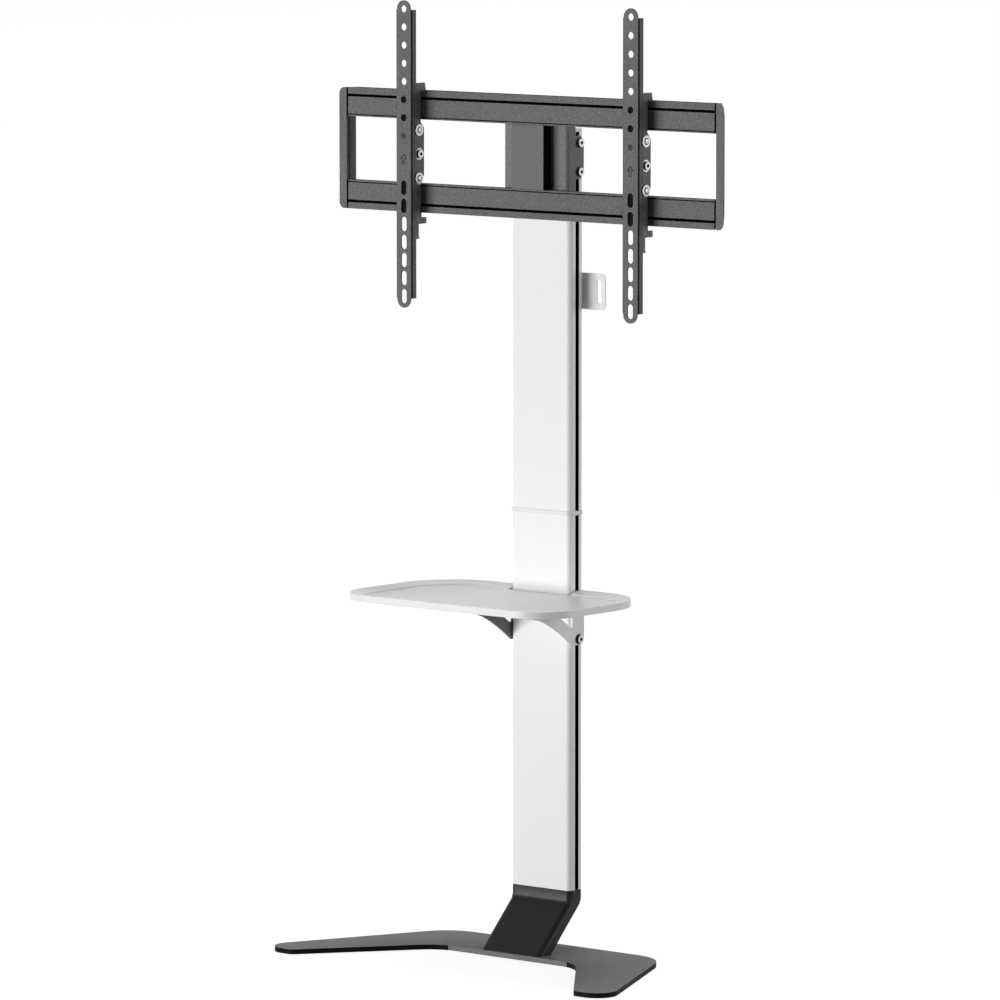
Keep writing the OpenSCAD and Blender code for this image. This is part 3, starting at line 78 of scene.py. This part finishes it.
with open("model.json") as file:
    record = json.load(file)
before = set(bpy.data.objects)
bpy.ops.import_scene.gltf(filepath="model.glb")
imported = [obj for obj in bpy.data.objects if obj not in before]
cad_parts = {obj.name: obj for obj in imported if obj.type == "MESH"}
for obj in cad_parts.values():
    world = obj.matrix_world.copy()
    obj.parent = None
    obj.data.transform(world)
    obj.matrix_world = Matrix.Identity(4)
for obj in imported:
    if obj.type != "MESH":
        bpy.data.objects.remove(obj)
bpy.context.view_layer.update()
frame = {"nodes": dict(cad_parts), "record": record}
nodes = frame["nodes"]
body_of = {
    node: body
    for body, members in frame["record"]["behaviour"]["bodies"].items()
    for node in members
}
slot_of = {s["node"]: s["material_slot"] for s in frame["record"]["subparts"]}


# ---------------------------------------------------------------- materials
def effect(name, sockets_in, sockets_out):
    """An empty shader node group with named inputs and outputs."""
    group = bpy.data.node_groups.new(name, "ShaderNodeTree")
    for label, kind, value in sockets_in:
        socket = group.interface.new_socket(label, in_out="INPUT", socket_type=kind)
        if value is not None:
            socket.default_value = value
    for label, kind in sockets_out:
        group.interface.new_socket(label, in_out="OUTPUT", socket_type=kind)
    return group, group.nodes.new("NodeGroupInput"), group.nodes.new("NodeGroupOutput")


def node_in(tree, kind, **settings):
    made = tree.nodes.new(kind)
    for key, value in settings.items():
        setattr(made, key, value)
    return made


def math_in(tree, operation, a, b):
    made = node_in(tree, "ShaderNodeMath", operation=operation)
    for socket, value in zip(made.inputs, (a, b)):
        if isinstance(value, (int, float)):
            socket.default_value = value
        else:
            tree.links.new(value, socket)
    return made.outputs[0]


def make_powder_grain():
    """Orange-peel and fleck of a textured powder coat."""
    group, start, end = effect(
        "powder grain",
        [
            ("Coat", "NodeSocketColor", (0.15, 0.15, 0.15, 1)),
            ("Grain scale", "NodeSocketFloat", 900),
            ("Fleck", "NodeSocketFloat", 0.12),
            ("Roughness", "NodeSocketFloat", 0.5),
        ],
        [
            ("Color", "NodeSocketColor"),
            ("Roughness", "NodeSocketFloat"),
            ("Height", "NodeSocketFloat"),
        ],
    )
    place = node_in(group, "ShaderNodeTexCoord")
    fine = node_in(group, "ShaderNodeTexNoise", noise_dimensions="3D")
    fine.inputs["Detail"].default_value = 2
    group.links.new(place.outputs["Object"], fine.inputs["Vector"])
    group.links.new(start.outputs["Grain scale"], fine.inputs["Scale"])
    broad = node_in(group, "ShaderNodeTexNoise", noise_dimensions="3D")
    broad.inputs["Scale"].default_value = 14
    broad.inputs["Detail"].default_value = 3
    group.links.new(place.outputs["Object"], broad.inputs["Vector"])
    swing = math_in(group, "SUBTRACT", fine.outputs["Fac"], 0.5)
    lift = math_in(group, "MULTIPLY", swing, start.outputs["Fleck"])
    drift = math_in(
        group, "MULTIPLY", math_in(group, "SUBTRACT", broad.outputs["Fac"], 0.5), 0.10
    )
    gain = math_in(
        group,
        "ADD",
        math_in(group, "MULTIPLY", math_in(group, "ADD", lift, drift), 2.0),
        1.0,
    )
    shade = node_in(group, "ShaderNodeVectorMath", operation="SCALE")
    group.links.new(start.outputs["Coat"], shade.inputs[0])
    group.links.new(gain, shade.inputs["Scale"])
    group.links.new(shade.outputs[0], end.inputs["Color"])
    rough = math_in(
        group,
        "ADD",
        start.outputs["Roughness"],
        math_in(group, "MULTIPLY", swing, 0.25),
    )
    group.links.new(rough, end.inputs["Roughness"])
    group.links.new(fine.outputs["Fac"], end.inputs["Height"])
    return group


def make_drawn_lines():
    """Fine draw lines along an extrusion or a drawn bar."""
    group, start, end = effect(
        "drawn lines",
        [
            ("Metal", "NodeSocketColor", (0.7, 0.7, 0.7, 1)),
            ("Stretch", "NodeSocketVector", (1, 1, 0.004)),
            ("Line scale", "NodeSocketFloat", 600),
            ("Contrast", "NodeSocketFloat", 0.06),
            ("Roughness", "NodeSocketFloat", 0.35),
        ],
        [
            ("Color", "NodeSocketColor"),
            ("Roughness", "NodeSocketFloat"),
            ("Height", "NodeSocketFloat"),
        ],
    )
    place = node_in(group, "ShaderNodeTexCoord")
    pull = node_in(group, "ShaderNodeVectorMath", operation="MULTIPLY")
    group.links.new(place.outputs["Object"], pull.inputs[0])
    group.links.new(start.outputs["Stretch"], pull.inputs[1])
    lines = node_in(group, "ShaderNodeTexNoise", noise_dimensions="3D")
    lines.inputs["Detail"].default_value = 3
    group.links.new(pull.outputs[0], lines.inputs["Vector"])
    group.links.new(start.outputs["Line scale"], lines.inputs["Scale"])
    swing = math_in(group, "SUBTRACT", lines.outputs["Fac"], 0.5)
    gain = math_in(
        group,
        "ADD",
        math_in(group, "MULTIPLY", swing, start.outputs["Contrast"]),
        1.0,
    )
    shade = node_in(group, "ShaderNodeVectorMath", operation="SCALE")
    group.links.new(start.outputs["Metal"], shade.inputs[0])
    group.links.new(gain, shade.inputs["Scale"])
    group.links.new(shade.outputs[0], end.inputs["Color"])
    rough = math_in(
        group,
        "ADD",
        start.outputs["Roughness"],
        math_in(group, "MULTIPLY", swing, 0.3),
    )
    group.links.new(rough, end.inputs["Roughness"])
    group.links.new(lines.outputs["Fac"], end.inputs["Height"])
    return group


def make_moulded_skin():
    """Soft sheen variation and spark-eroded texture of a plastic moulding."""
    group, start, end = effect(
        "moulded skin",
        [
            ("Plastic", "NodeSocketColor", (0.7, 0.7, 0.7, 1)),
            ("Skin scale", "NodeSocketFloat", 700),
            ("Roughness", "NodeSocketFloat", 0.45),
        ],
        [
            ("Color", "NodeSocketColor"),
            ("Roughness", "NodeSocketFloat"),
            ("Height", "NodeSocketFloat"),
        ],
    )
    place = node_in(group, "ShaderNodeTexCoord")
    cells = node_in(group, "ShaderNodeTexVoronoi", feature="SMOOTH_F1")
    group.links.new(place.outputs["Object"], cells.inputs["Vector"])
    group.links.new(start.outputs["Skin scale"], cells.inputs["Scale"])
    cloud = node_in(group, "ShaderNodeTexNoise", noise_dimensions="3D")
    cloud.inputs["Scale"].default_value = 9
    group.links.new(place.outputs["Object"], cloud.inputs["Vector"])
    swing = math_in(group, "SUBTRACT", cloud.outputs["Fac"], 0.5)
    gain = math_in(group, "ADD", math_in(group, "MULTIPLY", swing, 0.05), 1.0)
    shade = node_in(group, "ShaderNodeVectorMath", operation="SCALE")
    group.links.new(start.outputs["Plastic"], shade.inputs[0])
    group.links.new(gain, shade.inputs["Scale"])
    group.links.new(shade.outputs[0], end.inputs["Color"])
    rough = math_in(
        group,
        "ADD",
        start.outputs["Roughness"],
        math_in(group, "MULTIPLY", swing, 0.2),
    )
    group.links.new(rough, end.inputs["Roughness"])
    group.links.new(cells.outputs["Distance"], end.inputs["Height"])
    return group


powder_grain = make_powder_grain()
drawn_lines = make_drawn_lines()
moulded_skin = make_moulded_skin()


def coated(name, group, colour_label, values, bump, plain):
    """A material: one effect group feeding a Principled surface."""
    material = bpy.data.materials.new(name)
    material.use_nodes = True
    tree = material.node_tree
    surface = tree.nodes["Principled BSDF"]
    grain = node_in(tree, "ShaderNodeGroup", node_tree=group)
    for label, value in values.items():
        grain.inputs[label].default_value = value
    tree.links.new(grain.outputs["Color"], surface.inputs["Base Color"])
    tree.links.new(grain.outputs["Roughness"], surface.inputs["Roughness"])
    relief = node_in(tree, "ShaderNodeBump")
    relief.inputs["Strength"].default_value = bump[0]
    relief.inputs["Distance"].default_value = bump[1]
    tree.links.new(grain.outputs["Height"], relief.inputs["Height"])
    tree.links.new(relief.outputs["Normal"], surface.inputs["Normal"])
    for label, value in plain.items():
        surface.inputs[label].default_value = value
    material.diffuse_color = values[colour_label]
    return material


def grey(level, warm=0.0):
    """Linear colour of a neutral paint from its shade on screen, 0 to 255."""
    share = level / 255
    linear = share / 12.92 if share < 0.04045 else ((share + 0.055) / 1.055) ** 2.4
    return (linear * (1 + warm), linear, linear * (1 - warm), 1)


def powder(name, level, fleck=0.16, roughness=0.5, sheen=0.2):
    """A textured powder coat."""
    return coated(
        name,
        powder_grain,
        "Coat",
        {
            "Coat": grey(level, POWDER_WARMTH),
            "Grain scale": POWDER_SCALE,
            "Fleck": fleck,
            "Roughness": roughness,
        },
        POWDER_BUMP,
        {"Specular IOR Level": sheen},
    )


def drawn(name, level, metallic, stretch, roughness=0.34, contrast=0.07, sheen=0.5):
    """An extruded or drawn metal, with its lines along the stretch."""
    return coated(
        name,
        drawn_lines,
        "Metal",
        {
            "Metal": grey(level),
            "Stretch": stretch,
            "Line scale": LINE_SCALE,
            "Contrast": contrast,
            "Roughness": roughness,
        },
        LINE_BUMP,
        {"Metallic": metallic, "Specular IOR Level": sheen},
    )


def moulded(name, level, roughness=0.42, sheen=0.35):
    """A moulded plastic or rubber."""
    return coated(
        name,
        moulded_skin,
        "Plastic",
        {"Plastic": grey(level), "Skin scale": SKIN_SCALE, "Roughness": roughness},
        SKIN_BUMP,
        {"Specular IOR Level": sheen},
    )


UPRIGHT = (1, 1, 0.01)
EVEN = (1, 1, 1)
finish = {
    "base_paint": powder("base powder coat", 123, fleck=0.8, sheen=0.06),
    "pad_rubber": moulded("foot rubber", 28, roughness=0.8),
    "screw_steel": drawn("plated screw steel", 190, 0.9, EVEN, 0.3),
    "bar_steel": drawn("joining bar steel", 170, 0.9, UPRIGHT, 0.4),
    "knee_paint": powder("knee powder coat", 17, fleck=0.2, sheen=0.16, roughness=0.38),
    "column_aluminium": drawn(
        "silver anodised column", 241, 0.0, UPRIGHT, 0.5, 0.04, sheen=0.3
    ),
    "ring_plastic": moulded("light grey moulding", 224),
    "tray_plastic": moulded("shelf moulding", 234, roughness=0.38),
    "shelf_paint": powder("light sheet paint", 238, fleck=0.03, sheen=0.05),
    "zinc_steel": drawn("bright zinc", 205, 0.25, EVEN, sheen=0.3),
    "bracket_paint": powder("bracket powder coat", 128, fleck=0.9, sheen=0.02),
    "cover_plastic": moulded("cover moulding", 116, roughness=0.5, sheen=0.04),
    "rail_aluminium": powder("rail powder coat", 113, fleck=0.75, sheen=0.01),
    "cap_plastic": powder("end cap texture", 113, fleck=0.75, sheen=0.02),
    "arm_paint": powder("arm powder coat", 111, fleck=1.0, sheen=0.02),
    # The tilt plate is a real part; its near-black coat is painted shade where it shows
    # through the arm holes.
    "tilt_paint": powder("tilt plate coat in painted shade", 10, fleck=0.2, sheen=0.02),
}
# Painted shade: near black, for slots, grooves, sockets and the joints at the end caps.
slot_shadow = moulded("slot painted shade", 5, roughness=0.9, sheen=0.0)
# Painted shade in the pressed arrow and along the tight outer bend of each arm.
mark_shade = powder("pressed mark shade", 46, fleck=0.3, sheen=0.0)
# Painted shade in the dimple of each arm.
dimple_shade = powder("dimple shade", 80, fleck=0.3, sheen=0.0)
# Painted shade on the inner side of the left shelf bracket.
shaded_sheet = powder("shaded sheet paint", 128, fleck=0.1, sheen=0.05)
# Painted shade on the step of each guide pin head.
pin_step_shade = drawn("pin step painted shade", 120, 0.0, EVEN, 0.5, sheen=0.1)
# Painted shade on the right side of the cover box.
cover_side_shade = moulded("cover side painted shade", 16, roughness=0.7, sheen=0.02)
# Painted shade on the cut edge of the base plate.
plate_edge_shade = powder("plate edge painted shade", 26, fleck=0.3, sheen=0.02)
# Dark washer steel, and painted shade on the flanks of bolts and pins.
dark_washer_and_flank_shade = drawn("dark washer steel and painted flank shade", 44, 0.0, EVEN, 0.5, sheen=0.2)

for name, node in nodes.items():
    node.data.materials.clear()
    node.data.materials.append(finish[slot_of[name]])


# ------------------------------------------------------------------- pieces
def deselect():
    if bpy.context.object and bpy.context.object.mode != "OBJECT":
        bpy.ops.object.mode_set(mode="OBJECT")
    bpy.ops.object.select_all(action="DESELECT")


def choose(piece):
    deselect()
    piece.select_set(True)
    bpy.context.view_layer.objects.active = piece


def corner_cuts(side):
    """Planes that carry an end cap's rounded corners back along its sloped side."""
    planes = []
    for upright, corner_z in CAP_CORNERS:
        for step in range(CAP_CORNER_CUTS):
            turn = math.radians(90 * (step + 0.5) / CAP_CORNER_CUTS)
            across, rise = math.cos(turn), math.sin(turn) * upright
            touch = Vector(
                (
                    side * (CAP_CORNER_X + CAP_CORNER_R * across),
                    RAIL_FACE_Y,
                    corner_z + CAP_CORNER_R * rise,
                )
            )
            outward = Vector((side * across, CAP_SLOPE * across, rise))
            planes.append((touch * MM, outward))
    return planes


def edged(node, width, segments, cuts=()):
    """A merged copy of a CAD node with its edges rounded, standing for the node."""
    source = nodes[node]
    piece = source.copy()
    piece.data = source.data.copy()
    piece.name = node + "_finish"
    piece.parent = None
    for key in list(piece.keys()):
        del piece[key]
    bpy.context.scene.collection.objects.link(piece)
    choose(piece)
    bpy.ops.mesh.customdata_custom_splitnormals_clear()
    bpy.ops.object.mode_set(mode="EDIT")
    bpy.ops.mesh.select_all(action="SELECT")
    bpy.ops.mesh.remove_doubles(threshold=MERGE_MM * MM)
    bpy.ops.mesh.dissolve_limited(angle_limit=math.radians(FLAT_ANGLE))
    for touch, outward in cuts:
        bpy.ops.mesh.select_all(action="SELECT")
        bpy.ops.mesh.bisect(
            plane_co=touch, plane_no=outward, use_fill=True, clear_outer=True
        )
    bpy.ops.object.mode_set(mode="OBJECT")
    rounding = piece.modifiers.new("rounding", "BEVEL")
    rounding.width = width * MM
    rounding.segments = segments
    rounding.limit_method = "ANGLE"
    rounding.angle_limit = math.radians(ROUNDED_ANGLE)
    rounding.use_clamp_overlap = True
    bpy.ops.object.modifier_apply(modifier="rounding")
    bpy.ops.object.shade_smooth_by_angle(angle=math.radians(SMOOTH_ANGLE))
    flats = piece.modifiers.new("flats", "WEIGHTED_NORMAL")
    flats.keep_sharp = True
    flats.weight = 100
    bpy.ops.object.modifier_apply(modifier="flats")
    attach(piece, body_of[node])
    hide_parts(node)
    return piece


def split_level(piece, heights):
    """Cut the faces of a piece level at each height in mm, keeping both parts."""
    choose(piece)
    bpy.ops.object.mode_set(mode="EDIT")
    for height in heights:
        bpy.ops.mesh.select_all(action="SELECT")
        bpy.ops.mesh.bisect(plane_co=(0, 0, height * MM), plane_no=(0, 0, 1))
    bpy.ops.object.mode_set(mode="OBJECT")


def shadowed(piece, inside, shade):
    """Faces of a piece that lie in a slot, a groove or a socket get a painted shade."""
    piece.data.materials.append(shade)
    last = len(piece.data.materials) - 1
    for face in piece.data.polygons:
        if inside(*(c / MM for c in face.center)):
            face.material_index = last


def paint_right_side_shade(piece, shade, top):
    """The right side of a piece gets a painted shade below a height in mm."""
    piece.data.materials.append(shade)
    for face in piece.data.polygons:
        if face.normal.x > 0.7 and face.center.z < top * MM:
            face.material_index = 1


def paint_flank_shade(piece, shade):
    """The flanks of a bolt, pin or washer along X get a painted shade."""
    piece.data.materials.append(shade)
    last = len(piece.data.materials) - 1
    for face in piece.data.polygons:
        if abs(face.normal.x) < 0.5:
            face.material_index = last


# The T-slots of the column, painted in shade.
def in_column_slot(x, y, z):
    side = 42.5 < abs(x) < 52.6 and abs(y - COLUMN_AXIS_Y) < 7.8
    rear = abs(x) < 7.8 and 19.5 < y < 29.6
    return side or rear


def groove_of(rail):
    """Test for the wide and the fine groove along the front of a rail, painted in
    shade.
    """
    wide, fine = GROOVES[rail]

    def inside(x, y, z):
        level = abs(z - wide) < WIDE_GROOVE_HALF or abs(z - fine) < FINE_GROOVE_HALF
        return GROOVE_Y[0] < y < GROOVE_Y[1] and level

    return inside


def in_cap_joint(x, y, z):
    """The inner wall of an end cap behind the rail ends, painted in shade."""
    window = CAP_LEVELS[0] < z < CAP_LEVELS[1]
    return abs(x) < 326.3 and y > -27.4 and not window


def in_mark(x, y, z):
    """The pressed arrow, and the tight outer bend of each arm, in painted shade."""
    arrow = ARM_SKIN_Y[0] < y < ARM_SKIN_Y[1] and 1080 < z < 1106
    across = x - ARM_X if x > 0 else x + ARM_X
    return arrow or (12.2 < across < 14.19 and -53.3 < y < -51.3)


def in_plate_edge(x, y, z):
    """The cut edge of the base, apart from the front rim between its legs, in painted
    shade.
    """
    return 2.3 < z < 7.7 and (abs(x) > 108 or y > 0)


def in_dimple(x, y, z):
    """The shallow dimple under the seventh hole of an arm, in painted shade."""
    return ARM_SKIN_Y[0] < y < ARM_SKIN_Y[1] and 1121 < z < 1133


def in_pin_ring(x, y, z):
    """The step between the flat head of a guide pin and its dome, in painted shade."""
    reach = min(
        math.hypot(y - PIN_Y, z - PIVOT_Z - rise) for rise in (-PIN_RISE, PIN_RISE)
    )
    return 3.7 < reach < 5.2


def socket_of(node, axis_y, levels):
    """Test for the hex sockets in bolt heads whose axes run along X, painted in shade.
    """
    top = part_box(node)[1][0] / MM - 0.15

    def inside(x, y, z):
        near = any(math.hypot(y - axis_y, z - level) < 2.75 for level in levels)
        return near and (x if node.startswith("pivot") else abs(x)) < top

    return inside


# Faces painted in shade: the test that picks them, and the painted shade.
DARK_PLACES = {
    "base_plate": (in_plate_edge, plate_edge_shade),
    "lower_column": (in_column_slot, slot_shadow),
    "upper_column": (in_column_slot, slot_shadow),
    "upper_rail": (groove_of("upper_rail"), slot_shadow),
    "lower_rail": (groove_of("lower_rail"), slot_shadow),
    "end_cap_left": (in_cap_joint, slot_shadow),
    "end_cap_right": (in_cap_joint, slot_shadow),
    "arm_left": (in_mark, mark_shade),
    "arm_right": (in_mark, mark_shade),
}
for node, axis_y, levels in (
    ("head_bolts", COLUMN_AXIS_Y, HEAD_BOLTS),
    ("shelf_bolts", COLUMN_AXIS_Y, SHELF_BOLTS),
    ("pivot_bolt_left", PIVOT_Y, (PIVOT_Z,)),
    ("pivot_bolt_right", PIVOT_Y, (PIVOT_Z,)),
):
    DARK_PLACES[node] = (socket_of(node, axis_y, levels), slot_shadow)
FASTENERS = (
    "head_bolts",
    "shelf_bolts",
    "pivot_bolt_left",
    "pivot_bolt_right",
    "guide_pins_left",
    "guide_pins_right",
)

for node, width, segments in (
    ("base_plate", 1.2, 3),
    ("knee_bracket", 1.2, 3),
    ("lower_column", 0.35, 2),
    ("upper_column", 0.35, 2),
    ("joint_ring", 0.8, 3),
    ("column_top_cap", 1.0, 3),
    ("shelf_tray", 1.6, 4),
    ("shelf_bracket_left", 0.6, 2),
    ("shelf_bracket_right", 0.6, 2),
    ("cable_holder", 0.5, 2),
    ("head_bracket", 0.7, 2),
    ("cover_box", 0.9, 3),
    ("upper_rail", 0.3, 2),
    ("lower_rail", 0.3, 2),
    ("end_cap_left", 0.9, 3),
    ("end_cap_right", 0.9, 3),
    ("carrier_left", 0.4, 2),
    ("carrier_right", 0.4, 2),
    ("latch_left", 0.4, 2),
    ("latch_right", 0.4, 2),
    ("arm_left", 0.35, 2),
    ("arm_right", 0.35, 2),
    ("head_bolts", 0.3, 2),
    ("shelf_bolts", 0.3, 2),
    ("head_washers", 0.2, 2),
    ("shelf_washers", 0.2, 2),
    ("pivot_bolt_left", 0.3, 2),
    ("pivot_bolt_right", 0.3, 2),
    ("guide_pins_left", 0.5, 3),
    ("guide_pins_right", 0.5, 3),
):
    if node in ("end_cap_left", "end_cap_right"):
        side = -1 if node.endswith("left") else 1
        made = edged(node, width, segments, cuts=corner_cuts(side))
        split_level(made, CAP_LEVELS)
    else:
        made = edged(node, width, segments)
    # Painted shade on the inner side of the left shelf bracket.
    if node == "shelf_bracket_left":
        paint_right_side_shade(made, shaded_sheet, SHELF_SHADE_TOP)
    # Painted shade on the right side of the cover box.
    if node == "cover_box":
        paint_right_side_shade(made, cover_side_shade, COVER_SHADE_TOP)
    # Painted shade on the flanks of each fastener.
    if node in FASTENERS:
        paint_flank_shade(made, dark_washer_and_flank_shade)
    if node in DARK_PLACES:
        shadowed(made, *DARK_PLACES[node])
    # Painted shade on the step of each guide pin head.
    if node in ("guide_pins_left", "guide_pins_right"):
        shadowed(made, in_pin_ring, pin_step_shade)
    # Painted shade in the dimple of each arm.
    if node in ("arm_left", "arm_right"):
        shadowed(made, in_dimple, dimple_shade)
    # The washers take the dark washer steel all over.
    if node in ("head_washers", "shelf_washers"):
        made.data.materials[0] = dark_washer_and_flank_shade


# -------------------------------------------------------------------- stage
def make_floor():
    """Pale floor, white to the camera, that keeps the shadow of the stand."""
    deselect()
    bpy.ops.mesh.primitive_plane_add(size=40, location=(0, 8, 0))
    floor = bpy.context.object
    floor.name = "studio_floor"
    bpy.ops.object.transform_apply(location=True)
    material = bpy.data.materials.new("studio floor")
    material.use_nodes = True
    tree = material.node_tree
    surface = tree.nodes["Principled BSDF"]
    surface.inputs["Base Color"].default_value = (0.3, 0.3, 0.3, 1)
    surface.inputs["Roughness"].default_value = 0.9
    surface.inputs["Specular IOR Level"].default_value = 0
    light_path = node_in(tree, "ShaderNodeLightPath")
    seen = math_in(
        tree,
        "MAXIMUM",
        light_path.outputs["Is Camera Ray"],
        light_path.outputs["Is Glossy Ray"],
    )
    place = node_in(tree, "ShaderNodeTexCoord")
    reach = node_in(tree, "ShaderNodeVectorMath", operation="LENGTH")
    tree.links.new(place.outputs["Object"], reach.inputs[0])
    spread = node_in(tree, "ShaderNodeMapRange", interpolation_type="SMOOTHSTEP")
    tree.links.new(reach.outputs["Value"], spread.inputs["Value"])
    for label, value in (
        ("From Min", 0.5), ("From Max", 2.6), ("To Min", 0.9), ("To Max", 1.0)
    ):
        spread.inputs[label].default_value = value
    glow = node_in(tree, "ShaderNodeEmission")
    glow.inputs["Color"].default_value = (1, 1, 1, 1)
    tree.links.new(
        math_in(tree, "MULTIPLY", seen, spread.outputs["Result"]),
        glow.inputs["Strength"],
    )
    both = node_in(tree, "ShaderNodeAddShader")
    tree.links.new(surface.outputs["BSDF"], both.inputs[0])
    tree.links.new(glow.outputs["Emission"], both.inputs[1])
    tree.links.new(
        both.outputs["Shader"], tree.nodes["Material Output"].inputs["Surface"]
    )
    floor.data.materials.append(material)


def make_world(ambient):
    """White to the camera and in reflections, with a weak light on the stand."""
    world = bpy.data.worlds.new("studio")
    bpy.context.scene.world = world
    world.use_nodes = True
    tree = world.node_tree
    tree.nodes.clear()
    light_path = node_in(tree, "ShaderNodeLightPath")
    seen = math_in(
        tree,
        "MAXIMUM",
        light_path.outputs["Is Camera Ray"],
        light_path.outputs["Is Glossy Ray"],
    )
    plain = node_in(tree, "ShaderNodeBackground")
    plain.inputs["Color"].default_value = (1, 1, 1, 1)
    plain.inputs["Strength"].default_value = ambient
    white = node_in(tree, "ShaderNodeBackground")
    white.inputs["Color"].default_value = (1, 1, 1, 1)
    white.inputs["Strength"].default_value = 1
    pick = node_in(tree, "ShaderNodeMixShader")
    end = node_in(tree, "ShaderNodeOutputWorld")
    tree.links.new(seen, pick.inputs["Fac"])
    tree.links.new(plain.outputs[0], pick.inputs[1])
    tree.links.new(white.outputs[0], pick.inputs[2])
    tree.links.new(pick.outputs[0], end.inputs["Surface"])


def lamp(name, place, aim, size, power):
    """A rectangular area lamp, in metres and watts."""
    light = bpy.data.lights.new(name, "AREA")
    light.shape = "RECTANGLE"
    light.size, light.size_y = size
    light.energy = power
    panel = bpy.data.objects.new(name, light)
    bpy.context.scene.collection.objects.link(panel)
    panel.location = place
    aim_line = Vector(aim) - Vector(place)
    panel.rotation_euler = aim_line.to_track_quat("-Z", "Y").to_euler()


def make_camera():
    """The photograph's own viewpoint."""
    azimuth = math.radians(PHOTO_AZIMUTH)
    elevation = math.radians(PHOTO_ELEVATION)
    right = Vector((math.cos(azimuth), math.sin(azimuth), 0))
    back = Vector(
        (
            math.sin(azimuth) * math.cos(elevation),
            -math.cos(azimuth) * math.cos(elevation),
            math.sin(elevation),
        )
    )
    data = bpy.data.cameras.new("photo camera")
    data.sensor_width = 36
    data.lens = PHOTO_LENS
    camera = bpy.data.objects.new("photo camera", data)
    bpy.context.scene.collection.objects.link(camera)
    target = Vector((0, 0, AIM_HEIGHT)) + right * AIM_SIDE
    camera.location = target + back * PHOTO_DISTANCE
    camera.rotation_euler = (-back).to_track_quat("-Z", "Y").to_euler()
    data.clip_end = 60
    bpy.context.scene.camera = camera


make_floor()
make_world(0.015)
lamp("key", (-5.16, -9.71, 0.8), (0, 0, 0.7), (7.0, 1.5), 1090)
lamp("rim", (3.9, 2.9, 1.3), (0, 0, 0.65), (1.4, 2.2), 74)
lamp("side", (4.8, 0.0, 1.2), (0, 0, 0.65), (1.2, 2.2), 34)
lamp("top", (-0.3, 0.1, 4.4), (0, 0, 0.6), (1.6, 1.6), 86)
make_camera()

scene = bpy.context.scene
scene.view_settings.view_transform = "Standard"
